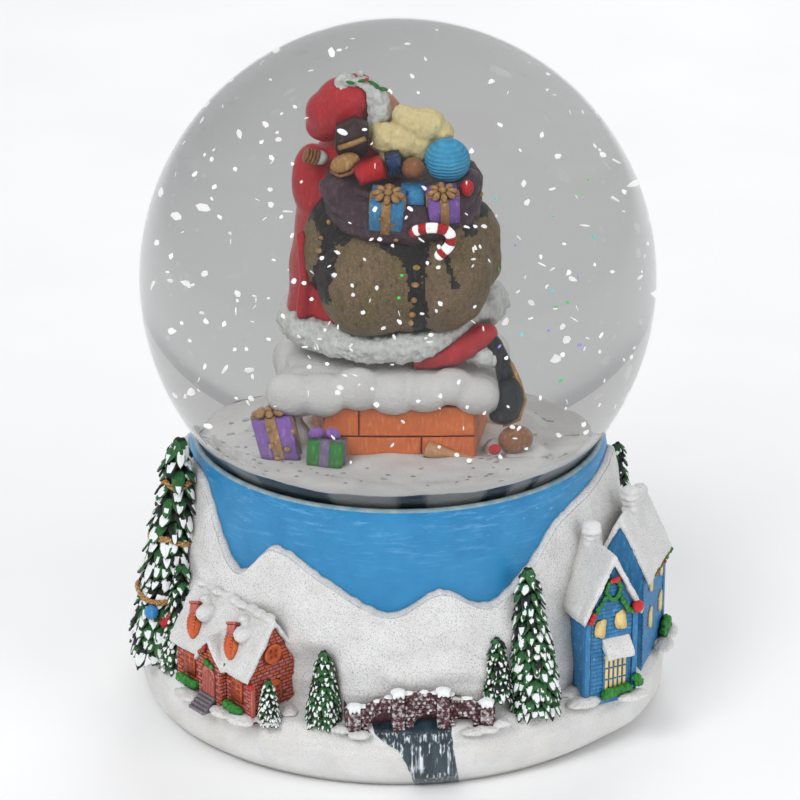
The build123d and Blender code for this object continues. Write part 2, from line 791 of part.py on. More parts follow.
def air_brake():
    """Endless screw with the two-bladed fan that holds the speed."""
    core_radius = worm_pitch_radius - 0.55
    tip = worm_pitch_radius + 0.35
    turns = 4.75
    start_z = shaft_z - worm_lead * 2.25
    path = Helix(worm_lead, turns * worm_lead, core_radius - 0.1, center=(0, 0, start_z))
    base, crest = 0.27 * worm_lead, 0.09 * worm_lead
    section = Polyline((core_radius - 0.1, -base), (tip, -crest), (tip, crest), (core_radius - 0.1, base),
                       close=True)
    face = Pos(0, 0, start_z) * (Plane.XZ * make_face(section))
    thread = sweep(face, path=path, is_frenet=True)
    core = disc(core_radius, shaft_z - worm_lead * 3.6, shaft_z + worm_lead * 3)
    shaft = disc(pivot_radius, plate_top_z + 0.4, shaft_z + worm_lead * 3 + 1.4)
    fan_top = shaft_z - worm_lead * 3.7
    fan = block(-fly_radius, fly_radius, -0.25, 0.25, fan_top - 5, fan_top)
    return Pos(worm_x, worm_y, 0) * (core + shaft + fan + thread)


def movement_frame():
    """Die-cast bed with the posts, comb block and governor bracket on it."""
    post_top = shaft_z + 1.8
    bed = block(-16, worm_x + 3.4, -21, worm_y + 2.0, plate_top_z, bed_top) & disc(36, plate_top_z, bed_top)
    near_x = cylinder_start - 1.9
    far_x = gear_x + gear_width + 0.6
    bracket_x = worm_wheel_x + gear_width + 0.9
    arm_low = shaft_z + worm_lead * 3 + 0.4
    arm_top = arm_low + 1.0
    frame = bed
    frame = frame + block(near_x, near_x + 1.2, -2.2, 2.2, plate_top_z, post_top)
    frame = frame + block(far_x, far_x + 1.2, -2.3, 2.1, plate_top_z, post_top)
    inner_x = gear_x - 2.2
    frame = frame + block(inner_x, inner_x + 1.2, governor_y - 1.1, governor_y + 1.6, plate_top_z, post_top)
    wall_y = worm_y - fly_radius - fit_gap
    frame = frame + block(bracket_x, bracket_x + 1.2, 4.5, wall_y, plate_top_z, arm_top)
    frame = frame + block(worm_x - 1.2, bracket_x + 1.2, wall_y - 0.1, worm_y + 1.3, arm_low, arm_top)
    frame = frame + block(cylinder_start - 0.6, cylinder_end + 1.2, -20.5, -13.5, plate_top_z, comb_low)
    long_bore = Rot(0, 90, 0) * Cylinder(shaft_radius + running_gap, 2 * cylinder_length)
    frame = frame - Pos(cylinder_end - 4, 0, shaft_z) * long_bore
    small_bore = Rot(0, 90, 0) * Cylinder(governor_shaft_radius + running_gap, cylinder_length)
    frame = frame - Pos(worm_wheel_x, governor_y, shaft_z) * small_bore
    pivot = disc(pivot_radius + running_gap, plate_top_z + 0.3, arm_top + 1)
    frame = frame - Pos(worm_x, worm_y, 0) * pivot
    frame = frame - disc(arbor_radius + running_gap, plate_top_z - 1, bed_top + 1)
    for x, y in movement_screw_places:
        frame = frame - Pos(x, y, 0) * disc(screw_radius, plate_top_z - 1, bed_top + 1)
    for x in comb_screw_places:
        frame = frame - Pos(x, comb_screw_y, 0) * disc(comb_screw_radius, comb_low - 3, comb_low + 1)
    return frame


comb_low = shaft_z - 0.5
comb_thickness = 1.0
comb_screw_y = -17.0
comb_screw_radius = 0.8
comb_screw_places = (cylinder_start + 2.4, cylinder_end - 2.0)
movement_screw_places = ((-10.5, 12.5), (-10.5, -12.5), (20.0, 10.0))
tine_width = 0.42


def tune_comb():
    """Steel comb, its tips just clear of the pins."""
    comb_top = comb_low + comb_thickness
    plate = block(cylinder_start - 0.4, cylinder_end + 1.0, -20.5, -13.2, comb_low, comb_top)
    tip_y = -(cylinder_radius + pin_height + 0.4)
    for i in range(comb_teeth):
        x = cylinder_start + cylinder_length * (i + 0.5) / comb_teeth
        half = tine_width / 2
        plate = plate + block(x - half, x + half, -13.4, tip_y, comb_low + 0.2, comb_top - 0.2)
    for x in comb_screw_places:
        plate = plate - Pos(x, comb_screw_y, 0) * disc(comb_screw_radius, comb_low - 1, comb_low + 3)
    return plate


def comb_screws():
    head_low = comb_low + comb_thickness
    screw = disc(comb_screw_radius, comb_low - 2.8, head_low) + disc(1.5, head_low, head_low + 0.9)
    return [Pos(x, comb_screw_y, 0) * screw for x in comb_screw_places]


def screw_up(length):
    """Pan-head screw driven upwards through the bottom plate."""
    return (disc(screw_radius, recess_depth, recess_depth + length)
            + disc(screw_head_radius, recess_depth - screw_head_height, recess_depth))


def bottom_plate():
    """Round plate that closes the base and carries the movement."""
    plate = disc(plate_radius, recess_depth, plate_top_z)
    plate = plate - disc(key_hub + 1.2, recess_depth - 1, plate_top_z + 1)
    for a in plate_screw_angles:
        plate = plate - around(boss_circle, a, 0, disc(screw_radius, recess_depth - 1, plate_top_z + 1))
    for x, y in movement_screw_places:
        plate = plate - Pos(x, y, 0) * disc(screw_radius, recess_depth - 1, plate_top_z + 1)
    return plate


def plate_screws():
    return [around(boss_circle, a, 0, screw_up(screw_length)) for a in plate_screw_angles]


def movement_screws():
    return [Pos(x, y, 0) * screw_up(bed_top - recess_depth) for x, y in movement_screw_places]


# ---- build ---------------------------------------------------------------------------------
def carve(shapes, *tools):
    """Cut pieces free of what they stand against, keeping one solid of each."""
    kept = []
    for shape in shapes:
        for tool in tools:
            shape = shape - tool
        kept.append(largest(shape))
    return kept


os.makedirs("parts", exist_ok=True)

brook = stream()
collar = blue_collar()
skirt = snow_skirt([brook])
grounded = (skirt, collar)
export("blue_collar", collar)
export("snow_skirt", skirt)
export("stream", brook)
export("felt_ring", felt_ring())

stone_bridge = carve([bridge()], *grounded, brook)[0]
export("bridge", stone_bridge)

walls = cottage_walls()
dormer_parts = dormer_blocks()
roof = carve([cottage_roof() - walls], *grounded)[0]
export("cottage_roof", roof)
export("cottage_dormers", *carve(dormer_parts, roof, walls))
brick = carve([walls], *grounded)[0]
export("cottage_walls", brick)
export("cottage_windows", *carve(cottage_windows(), walls, skirt))
export("cottage_steps", *carve([cottage_steps()], walls, skirt))

house = blue_house()
house_roof = carve([blue_house_roof() - house], *grounded)[0]
export("blue_house", *carve([house], *grounded))
export("blue_house_roof", house_roof)
export("house_chimneys", *carve(house_chimneys(), house, house_roof, skirt))
export("house_windows", *carve(house_windows(), house, house_roof, skirt))
export("house_door", *carve([house_door()], house, skirt))
export("door_canopy", *carve([door_canopy()], house))
export("house_wreath", *carve([house_wreath()], house, house_roof))

houses = (walls, roof, house, house_roof)
planted_trees = {}
for name, rows in trees.items():
    planted_trees[name] = carve([planted(*row) for row in rows], *grounded, *houses, stone_bridge)
planted_trees["narrow_tree_left"] = carve(planted_trees["narrow_tree_left"],
                                          *planted_trees["tall_tree_left"])
planted_trees["tall_tree_right"] = carve(planted_trees["tall_tree_right"], *planted_trees["small_trees"])
for name, shapes in planted_trees.items():
    export(name, *shapes)
export("tree_garlands", *carve(tree_garlands(), planted_trees["tall_tree_left"][0],
                               planted_trees["narrow_tree_left"][0], *grounded))
export("hedges", *carve(hedges(), *grounded, walls, house, *planted_trees["small_trees"]))

ground = snow_ground()
export("glass_globe", glass_globe())
export("globe_seal", globe_seal(collar))
export("rubber_stopper", rubber_stopper())
export("snow_ground", ground)
export("water_fill", water_fill(ground))
export("snow_flakes", *snow_flakes())

bricks = chimney_bricks() - ground
cap = chimney_snow() - ground - bricks
fur = coat_fur() - cap
sack = toy_sack() - fur - cap
cuff = sack_cuff() - sack
coat = red_coat() - fur - sack - cuff
boot = boots() - cap - fur
leg = trousers() - cap - fur - boot - coat
face_part = head() - coat - cuff
whiskers = beard() - face_part - coat
fur_band = hat_fur() - face_part - whiskers - coat - cuff
cap_bag = hat() - fur_band - face_part - coat - whiskers - cuff
presents = carve(boxes(sack_boxes), cuff, sack, coat)
balls = carve(toy_balls(), cuff, sack, coat, cap_bag, fur_band, *presents)
cane = carve([candy_cane()], sack, cuff, *presents)[0]
plush = carve([plush_toy()], cuff, sack, coat, face_part, fur_band, cap_bag, *presents, *balls)[0]
export("chimney_bricks", largest(bricks))
export("chimney_snow", largest(cap))
export("coat_fur", largest(fur))
export("toy_sack", largest(sack))
export("sack_cuff", largest(cuff))
export("red_coat", largest(coat))
export("boots", largest(boot))
export("trousers", largest(leg))
export("head", largest(face_part))
export("beard", largest(whiskers))
export("hat_fur", largest(fur_band))
export("hat", largest(cap_bag))
export("sack_presents", *presents)
export("toy_balls", *balls)
export("candy_cane", cane)
export("plush_toy", plush)
export("floor_presents", *carve(boxes(floor_boxes), ground, bricks, cap))

export("bottom_plate", bottom_plate())
export("plate_screws", *plate_screws())
export("movement_screws", *movement_screws())
export("movement_frame", movement_frame())
export("tune_comb", tune_comb())
export("comb_screws", *comb_screws())
export("spring_barrel", *spring_barrel())
export("mainspring", mainspring())
export("winding_arbor", winding_arbor())
export("winding_key", winding_key())
export("pinned_cylinder", pinned_cylinder())
export("governor_wheel", governor_wheel())
export("air_brake", air_brake())
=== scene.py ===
import math
import random
import bpy
from mathutils import Matrix, Vector, noise


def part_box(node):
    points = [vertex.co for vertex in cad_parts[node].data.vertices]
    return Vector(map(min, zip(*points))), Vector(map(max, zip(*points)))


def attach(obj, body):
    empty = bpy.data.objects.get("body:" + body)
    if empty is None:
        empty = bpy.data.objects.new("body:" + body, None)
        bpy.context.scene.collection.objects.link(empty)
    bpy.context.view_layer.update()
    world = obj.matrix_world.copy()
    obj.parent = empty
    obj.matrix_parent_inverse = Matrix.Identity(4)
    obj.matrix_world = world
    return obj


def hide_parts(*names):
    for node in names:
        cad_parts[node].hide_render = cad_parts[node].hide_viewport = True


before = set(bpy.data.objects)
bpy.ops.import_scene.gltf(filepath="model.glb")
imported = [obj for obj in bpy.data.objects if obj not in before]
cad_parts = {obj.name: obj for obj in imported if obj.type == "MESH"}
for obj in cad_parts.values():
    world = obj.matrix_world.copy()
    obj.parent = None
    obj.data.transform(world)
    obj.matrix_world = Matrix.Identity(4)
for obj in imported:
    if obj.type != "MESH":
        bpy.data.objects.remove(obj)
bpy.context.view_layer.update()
mm = 0.001
rng = random.Random(11)
print("frame loaded")


# ---- meshes, all in millimetres until a piece is made ----
class Heap:
    def __init__(self):
        self.verts = []
        self.faces = []
        self.tones = []

    def add(self, verts, faces, tone=0, place=None):
        base = len(self.verts)
        for v in verts:
            self.verts.append(place @ Vector(v) if place else Vector(v))
        for face in faces:
            self.faces.append([base + i for i in face])
            self.tones.append(tone)


def smoothStep(low, high, value):
    t = min(1.0, max(0.0, (value - low) / (high - low)))
    return t * t * (3 - 2 * t)


def bell(value, centre, width):
    return math.exp(-((value - centre) / width) ** 2)


def ripple(point, size, seed=0.0):
    return noise.noise(Vector(point) / size + Vector((seed, seed * 1.7, -seed)))


def around(radius, angle, height, turn=0.0):  # a place on the base, its -Y side outwards
    a = math.radians(angle)
    spot = Matrix.Translation((radius * math.sin(a), -radius * math.cos(a), height))
    return spot @ Matrix.Rotation(math.radians(angle + turn), 4, "Z")


def at(x, y, z, rx=0.0, ry=0.0, rz=0.0):
    turns = Matrix.Identity(4)
    for degrees, axis in ((rz, "Z"), (ry, "Y"), (rx, "X")):
        turns = turns @ Matrix.Rotation(math.radians(degrees), 4, axis)
    return Matrix.Translation((x, y, z)) @ turns


def gridFaces(columns, rows, closed=False):
    faces = []
    for i in range(columns if closed else columns - 1):
        n = (i + 1) % columns
        for j in range(rows - 1):
            faces.append((i * rows + j, n * rows + j, n * rows + j + 1, i * rows + j + 1))
    return faces


def addBox(heap, x0, x1, y0, y1, z0, z1, place=None, tone=0, ease=0.0):
    e = min(ease, (x1 - x0) * 0.3, (z1 - z0) * 0.3)  # ease narrows the -Y face, as a soft edge
    verts = [(x0, y1, z0), (x1, y1, z0), (x1, y1, z1), (x0, y1, z1),
             (x0, y0 + e, z0), (x1, y0 + e, z0), (x1, y0 + e, z1), (x0, y0 + e, z1)]
    faces = [(3, 2, 1, 0), (0, 1, 5, 4), (1, 2, 6, 5), (2, 3, 7, 6), (3, 0, 4, 7)]
    if e > 0:
        verts += [(x0 + e, y0, z0 + e), (x1 - e, y0, z0 + e), (x1 - e, y0, z1 - e), (x0 + e, y0, z1 - e)]
        faces += [(4, 5, 9, 8), (5, 6, 10, 9), (6, 7, 11, 10), (7, 4, 8, 11), (8, 9, 10, 11)]
    else:
        faces.append((4, 5, 6, 7))
    heap.add(verts, faces, tone, place)


def addPrism(heap, outline, depth0, depth1, place=None, tone=0):  # outline in x and z, along Y
    n = len(outline)
    verts = [(x, depth0, z) for x, z in outline] + [(x, depth1, z) for x, z in outline]
    faces = [list(range(n)), list(range(2 * n - 1, n - 1, -1))]
    faces += [((i + 1) % n, i, n + i, n + (i + 1) % n) for i in range(n)]
    heap.add(verts, faces, tone, place)


def addBlob(heap, radii, place, tone=0, segments=20, rings=12):
    verts = [(0, 0, -radii[2])]
    for j in range(1, rings):
        f = math.pi * j / rings
        for i in range(segments):
            a = 2 * math.pi * i / segments
            verts.append((radii[0] * math.sin(f) * math.cos(a), radii[1] * math.sin(f) * math.sin(a),
                          -radii[2] * math.cos(f)))
    verts.append((0, 0, radii[2]))
    top = len(verts) - 1
    faces = []
    for i in range(segments):
        n = (i + 1) % segments
        faces.append((0, 1 + n, 1 + i))
        last = 1 + (rings - 2) * segments
        faces.append((top, last + i, last + n))
        for j in range(rings - 2):
            low = 1 + j * segments
            faces.append((low + i, low + n, low + segments + n, low + segments + i))
    heap.add(verts, faces, tone, place)


def addTube(heap, path, radius, tone=0, segments=8, place=None):  # radius may be a function of the share
    count = len(path)
    verts = []
    points = [Vector(p) for p in path]
    side = Vector((0.31, 0.22, 0.93))
    for i, p in enumerate(points):
        along = (points[min(i + 1, count - 1)] - points[max(i - 1, 0)]).normalized()
        side = (side - along * side.dot(along)).normalized()
        other = along.cross(side)
        r = radius(i / (count - 1)) if callable(radius) else radius
        for k in range(segments):
            a = 2 * math.pi * k / segments
            verts.append(p + (side * math.cos(a) + other * math.sin(a)) * r)
    faces = [list(range(segments - 1, -1, -1)), list(range((count - 1) * segments, count * segments))]
    for i in range(count - 1):
        for k in range(segments):
            n = (k + 1) % segments
            a, b = i * segments, (i + 1) * segments
            faces.append((a + k, a + n, b + n, b + k))
    heap.add(verts, faces, tone, place)


def addLathe(heap, outline, segments=160, tone=0, place=None):  # closed outline of radius and height
    rows = len(outline)
    verts = []
    for i in range(segments):
        a = 2 * math.pi * i / segments
        verts += [(r * math.sin(a), -r * math.cos(a), z) for r, z in outline]
    faces = []
    for i in range(segments):
        n = (i + 1) % segments
        for j in range(rows):
            m = (j + 1) % rows
            faces.append((i * rows + j, n * rows + j, n * rows + m, i * rows + m))
    heap.add(verts, faces, tone, place)


def meshOf(name, heap):
    mesh = bpy.data.meshes.new(name)
    mesh.from_pydata(heap.verts, [], heap.faces)
    mesh.polygons.foreach_set("material_index", heap.tones)
    return mesh


def settle(name, mesh, finishes, stands=(), body="globe_base", flat=False):
    mesh.transform(Matrix.Scale(mm, 4))
    for finish in finishes:
        mesh.materials.append(finish)
    mesh.polygons.foreach_set("use_smooth", [not flat] * len(mesh.polygons))
    mesh.update()
    piece = bpy.data.objects.new(name, mesh)
    bpy.context.scene.collection.objects.link(piece)
    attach(piece, body)
    if stands:
        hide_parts(*stands)
    return piece


def build(name, heap, finishes, stands=(), flat=False, body="globe_base"):
    return settle(name, meshOf(name, heap), finishes, stands, body, flat)


def sculpt(name, heap, finishes, stands=(), voxel=0.3, smooth=4, bumps=(), tone=None):
    rough = bpy.data.objects.new(name + "_rough", meshOf(name + "_rough", heap))
    bpy.context.scene.collection.objects.link(rough)
    skin = rough.modifiers.new("skin", "REMESH")
    skin.mode = "VOXEL"
    skin.voxel_size = voxel
    if smooth:
        ease = rough.modifiers.new("ease", "SMOOTH")
        ease.iterations = smooth
        ease.factor = 0.5
    ready = rough.evaluated_get(bpy.context.evaluated_depsgraph_get())
    mesh = bpy.data.meshes.new_from_object(ready)
    mesh.name = name
    bpy.data.objects.remove(rough)
    normals = [v.normal.copy() for v in mesh.vertices]
    for v, normal in zip(mesh.vertices, normals):
        lift = sum(amount * ripple(v.co, size, k * 3.1) for k, (size, amount) in enumerate(bumps))
        v.co += normal * lift
    if tone:
        for face in mesh.polygons:
            face.material_index = tone(face.center, face.normal)
    return settle(name, mesh, finishes, stands)


# ---- paints ----
class Paint:  # a Principled material with short ways to add its detail
    def __init__(self, name, rough=0.6, **sockets):
        self.material = bpy.data.materials.new(name)
        self.material.use_nodes = True
        self.tree = self.material.node_tree
        self.shader = self.tree.nodes["Principled BSDF"]
        self.shader.inputs["Roughness"].default_value = rough
        for socket, value in sockets.items():
            self.shader.inputs[socket.replace("_", " ")].default_value = value
        self.place = self.tree.nodes.new("ShaderNodeTexCoord").outputs["Object"]

    def link(self, a, b):
        self.tree.links.new(a, b)

    def stretched(self, scale):
        node = self.tree.nodes.new("ShaderNodeMapping")
        node.inputs["Scale"].default_value = scale
        self.link(self.place, node.inputs["Vector"])
        return node.outputs[0]

    def grain(self, size, low=0.0, high=1.0, detail=2.0, stretch=None, rough=0.5):
        node = self.tree.nodes.new("ShaderNodeTexNoise")
        node.inputs["Scale"].default_value = 1 / (size * mm)
        node.inputs["Detail"].default_value = detail
        node.inputs["Roughness"].default_value = rough
        self.link(self.stretched(stretch) if stretch else self.place, node.inputs["Vector"])
        return self.ranged(node.outputs["Fac"], low, high)

    def ranged(self, value, low, high):
        node = self.tree.nodes.new("ShaderNodeMapRange")
        node.inputs["From Min"].default_value = low
        node.inputs["From Max"].default_value = high
        self.link(value, node.inputs["Value"])
        return node.outputs["Result"]

    def times(self, a, b, kind="MULTIPLY"):
        node = self.tree.nodes.new("ShaderNodeMath")
        node.operation = kind
        node.use_clamp = True
        for socket, value in zip(node.inputs, (a, b)):
            if isinstance(value, (int, float)):
                socket.default_value = value
            else:
                self.link(value, socket)
        return node.outputs[0]

    def upward(self, low, high, axis="Z"):  # 1 where the surface faces up
        node = self.tree.nodes.new("ShaderNodeSeparateXYZ")
        geometry = self.tree.nodes.new("ShaderNodeNewGeometry")
        self.link(geometry.outputs["Normal"], node.inputs[0])
        return self.ranged(node.outputs[axis], low, high)

    def height(self, low, high, axis="Z"):  # 0 to 1 between two heights in millimetres
        node = self.tree.nodes.new("ShaderNodeSeparateXYZ")
        self.link(self.place, node.inputs[0])
        return self.ranged(node.outputs[axis], low * mm, high * mm)

    # an ambient-occlusion mask: paints use it to lay painted shade into creases
    def openToLight(self, reach, low=0.35, high=0.95):  # 1 in the open, 0 in creases
        node = self.tree.nodes.new("ShaderNodeAmbientOcclusion")
        node.inputs["Distance"].default_value = reach * mm
        node.samples = 6
        return self.ranged(node.outputs["AO"], low, high)

    def mix(self, share, first, second):
        node = self.tree.nodes.new("ShaderNodeMix")
        node.data_type = "RGBA"
        self.link(share, node.inputs[0])
        for socket, value in ((node.inputs[6], first), (node.inputs[7], second)):
            if isinstance(value, tuple):
                socket.default_value = (*value, 1)
            else:
                self.link(value, socket)
        return node.outputs[2]

    def colour(self, value):
        if isinstance(value, tuple):
            self.shader.inputs["Base Color"].default_value = (*value, 1)
        else:
            self.link(value, self.shader.inputs["Base Color"])
        return self

    def bump(self, value, height, strength=1.0):
        node = self.tree.nodes.new("ShaderNodeBump")
        node.inputs["Distance"].default_value = height * mm
        node.inputs["Strength"].default_value = strength
        self.link(value, node.inputs["Height"])
        self.link(node.outputs[0], self.shader.inputs["Normal"])
        return self


def handPaint(name, main, dark, light, rough=0.55, patch=1.6, crease=0.8, brush=0.25, grit=0.35, **more):
    # brush-painted resin: uneven coat, painted shade in the creases, lighter dry-brushing
    p = Paint(name, rough, **more)
    tone = p.mix(p.grain(patch, 0.35, 0.7, 3), main, tuple(0.78 * c + 0.22 * d for c, d in zip(main, dark)))
    tone = p.mix(p.grain(0.5, 0.52, 0.52 + brush, 4, (1, 1, 0.3)), tone, light)
    # painted shade: the dark colour laid into creases by the occlusion mask
    if crease:
        tone = p.mix(p.openToLight(crease), dark, tone)
    p.colour(tone)
    p.bump(p.grain(grit, 0.2, 0.8, 4), 0.05)
    return p.material


def snowPaint(name, speckle, warm=0.0):
    p = Paint(name, 0.78)
    tone = p.mix(p.grain(5, 0.35, 0.7, 3), (0.72, 0.72, 0.715), (0.64, 0.635, 0.625))
    if warm:
        tone = p.mix(p.times(p.height(15, 9), p.grain(7, 0.4, 0.75, 3)), tone, (0.70, 0.68, 0.635))
    # painted shade: grey in the creases and dips of the snow
    tone = p.mix(p.openToLight(2.2, 0.25, 0.85), (0.47, 0.46, 0.44), tone)
    dots = p.grain(0.2, 0.54, 0.66, 1.5, rough=0.6)
    if warm:
        dots = p.times(dots, p.ranged(p.height(6, 17), -0.35, 1.0))
    tone = p.mix(p.times(dots, speckle), tone, (0.24, 0.23, 0.225))
    p.colour(tone)
    p.bump(p.grain(0.42, 0.2, 0.8, 3), 0.11)
    return p.material


def metalFinish(name, colour, rough=0.3, streak=(1, 1, 1)):
    p = Paint(name, rough, Metallic=1.0)
    p.colour(p.mix(p.grain(1.4, 0.3, 0.8, 3, streak), colour, tuple(0.7 * c for c in colour)))
    p.bump(p.grain(0.25, 0.2, 0.8, 2, streak), 0.012)
    return p.material


bankSnow = snowPaint("bank_snow", 0.75, 1.0)
roofSnow = snowPaint("roof_snow", 0.6)
plainSnow = snowPaint("plain_snow", 0.12)
dabSnow = handPaint("dab_snow", (0.84, 0.86, 0.86), (0.45, 0.5, 0.5), (0.92, 0.93, 0.93), 0.6, 0.8, 0.35)
firGreen = handPaint("fir_green", (0.024, 0.115, 0.032), (0.006, 0.018, 0.009), (0.07, 0.23, 0.075), 0.5,
                     1.2, 0.7)
# painted shade: the dark green for the tree's core, twig roots and backs, and a share of whole twigs
firPaintedShade = handPaint("fir_painted_shade", (0.011, 0.018, 0.013), (0.004, 0.005, 0.004), (0.03, 0.06, 0.035), 0.6,
                     1.2, 0.7)
brickMortar = handPaint("brick_mortar", (0.21, 0.045, 0.036), (0.10, 0.02, 0.018), (0.36, 0.10, 0.085), 0.6)
brickRed = handPaint("brick_red", (0.50, 0.128, 0.10), (0.19, 0.032, 0.028), (0.66, 0.27, 0.22), 0.55, 1.4,
                     0.3)
windowOrange = handPaint("window_orange", (0.58, 0.105, 0.028), (0.20, 0.03, 0.012), (0.68, 0.19, 0.07), 0.5)
paneDark = handPaint("pane_dark", (0.23, 0.035, 0.018), (0.09, 0.012, 0.01), (0.30, 0.06, 0.03), 0.45)
houseBlue = handPaint("house_blue", (0.030, 0.185, 0.40), (0.010, 0.045, 0.10), (0.10, 0.33, 0.56), 0.5,
                      1.4, 0.45)
windowYellow = handPaint("window_yellow", (0.80, 0.62, 0.26), (0.40, 0.27, 0.09), (0.88, 0.74, 0.40), 0.5)
leafGreen = handPaint("leaf_green", (0.022, 0.20, 0.026), (0.006, 0.05, 0.008), (0.08, 0.38, 0.07), 0.5)
berryRed = handPaint("berry_red", (0.50, 0.016, 0.022), (0.15, 0.004, 0.006), (0.66, 0.07, 0.07), 0.4)
ballBlue = handPaint("ball_blue", (0.035, 0.22, 0.50), (0.01, 0.06, 0.16), (0.12, 0.42, 0.68), 0.4)
goldPaint = handPaint("gold_paint", (0.52, 0.29, 0.11), (0.13, 0.05, 0.015), (0.86, 0.58, 0.28), 0.38, 0.7,
                      0.4, Metallic=0.35)
stepGrey = handPaint("step_grey", (0.20, 0.18, 0.20), (0.05, 0.045, 0.05), (0.36, 0.34, 0.36), 0.6)


def stonePaint():
    p = Paint("bridge_stone", 0.6)
    tone = p.mix(p.grain(1.0, 0.35, 0.7, 3), (0.062, 0.019, 0.024), (0.12, 0.038, 0.042))
    tone = p.mix(p.times(p.grain(0.9, 0.46, 0.62, 3), p.openToLight(0.5, 0.5, 0.9)), tone, (0.62, 0.60, 0.60))
    # painted shade: near black in the gaps and creases between the stones
    tone = p.mix(p.openToLight(0.45, 0.15, 0.8), (0.022, 0.010, 0.012), tone)
    p.colour(tone)
    p.bump(p.grain(0.35, 0.2, 0.8, 3), 0.05)
    return p.material


bridgeStone = stonePaint()
bridgeRail = handPaint("bridge_rail", (0.105, 0.028, 0.032), (0.03, 0.01, 0.012), (0.30, 0.22, 0.22), 0.55,
                       1.0, 0.5)


def streamPaint():
    p = Paint("slate_water", 0.32, Coat_Weight=0.4)
    tone = p.mix(p.grain(2.4, 0.3, 0.75, 3, (1, 1, 0.25)), (0.006, 0.014, 0.022), (0.035, 0.065, 0.088))
    streaks = p.times(p.grain(0.5, 0.52, 0.66, 3, (1, 1, 0.045)), p.upward(0.85, 0.2))
    fade = p.times(p.ranged(p.height(0.5, 5.5), -0.15, 1.0), streaks)
    tone = p.mix(fade, tone, (0.74, 0.80, 0.84))
    p.colour(tone)
    p.bump(p.grain(0.6, 0.2, 0.8, 3, (1, 1, 0.1)), 0.12)
    return p.material


slateWater = streamPaint()


def collarPaint():
    p = Paint("collar_blue", 0.42, Coat_Weight=0.15)
    tone = p.mix(p.grain(6, 0.35, 0.7, 3), (0.012, 0.190, 0.42), (0.022, 0.235, 0.48))
    brushed = p.grain(2.2, 0.53, 0.74, 5, (0.35, 0.35, 2.2), 0.7)
    high = p.times(brushed, p.height(36, 54))
    tone = p.mix(high, tone, (0.14, 0.40, 0.68))
    tone = p.mix(p.times(p.grain(1.4, 0.66, 0.78, 4, (0.6, 0.6, 3.0), 0.7), p.height(40, 52)), tone,
                 (0.60, 0.74, 0.86))
    p.colour(tone)
    p.bump(p.grain(0.5, 0.2, 0.8, 4, (0.3, 0.3, 2.5)), 0.06)
    return p.material


collarBlue = collarPaint()
print("paints mixed")

# ---- sizes read from the frame, in millimetres ----
collarBox = [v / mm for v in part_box("blue_collar")]
globeBox = [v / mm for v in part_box("glass_globe")]
groundBox = [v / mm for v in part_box("snow_ground")]
plateBox = [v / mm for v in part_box("bottom_plate")]
globeRadius = globeBox[1].x
globeMiddle = globeBox[1].z - globeRadius
collarTop = collarBox[1].z
collarFoot = plateBox[1].z
shelf = 13.0
base = {"collarRim": 40.4, "collarFlare": 2.8, "neck": 33.6, "cavity": 39.1, "seatGap": 0.6, "footProud": 0.2,
        "foot": 49.5, "belly": 52.7, "snowThickness": 1.2, "recess": plateBox[1].x + 0.3}
# snow line: angle from the front, height
snowLine = [(-180, 44), (-150, 48), (-125, 42), (-100, 48), (-78, 50.0), (-62, 48.8), (-44, 36.4),
            (-33, 43.1), (-18, 38.5), (-2, 33.0), (10.5, 37.2), (22.5, 33.5), (34, 38.5), (45, 45.4),
            (62, 48.5), (85, 49.5), (110, 43), (140, 47.5), (162, 41)]


def collarSide(z):
    share = (collarTop - z) / (collarTop - collarFoot)
    return base["collarRim"] + base["collarFlare"] * math.sin(math.pi / 2 * min(1.0, max(0.0, share * 1.25)))


def snowTop(angle):  # height of the snow line at an angle, a smooth closed wave
    a = (angle + 180) % 360 - 180
    n = len(snowLine)
    rows = [(x - 360, z) for x, z in snowLine[-2:]] + snowLine + [(x + 360, z) for x, z in snowLine[:3]]
    k = max(i for i in range(1, n + 3) if rows[i][0] <= a)
    (x0, z0), (x1, z1), (x2, z2), (x3, z3) = rows[k - 1:k + 3]
    t = (a - x1) / (x2 - x1)
    m1 = (z2 - z0) / (x2 - x0) * (x2 - x1)
    m2 = (z3 - z1) / (x3 - x1) * (x2 - x1)
    return ((2 * t ** 3 - 3 * t ** 2 + 1) * z1 + (t ** 3 - 2 * t ** 2 + t) * m1
            + (-2 * t ** 3 + 3 * t ** 2) * z2 + (t ** 3 - t ** 2) * m2)


def roundedLine(points, passes=3):  # corner cutting, ends kept
    for _ in range(passes):
        cut = [points[0]]
        for p, q in zip(points, points[1:]):
            cut.append(tuple(0.75 * a + 0.25 * b for a, b in zip(p, q)))
            cut.append(tuple(0.25 * a + 0.75 * b for a, b in zip(p, q)))
        points = cut + [points[-1]]
    return points


bankFoot = shelf + 5
footLine = roundedLine([(base["foot"], base["footProud"]), (51.9, 2.4), (base["belly"], 5.9),
                        (base["belly"] - 0.1, 9.4), (51.6, 12.2), (49.4, 13.2), (47.6, 13.9),
                        (collarSide(bankFoot) + base["snowThickness"] + 3.6, bankFoot)])
footLength = [0.0]
for (r0, z0), (r1, z1) in zip(footLine, footLine[1:]):
    footLength.append(footLength[-1] + math.hypot(r1 - r0, z1 - z0))


def footPoint(share):  # radius and height on the way from the foot over the shelf to the bank
    goal = share * footLength[-1]
    k = min(len(footLine) - 2, max(i for i, l in enumerate(footLength[:-1]) if l <= goal))
    t = (goal - footLength[k]) / (footLength[k + 1] - footLength[k])
    return tuple(a + (b - a) * t for a, b in zip(footLine[k], footLine[k + 1]))


def bankRadius(z):
    lean = max(0.0, 1 - (z - bankFoot) / (collarTop - bankFoot))
    return collarSide(z) + base["snowThickness"] + 3.6 * lean ** 2


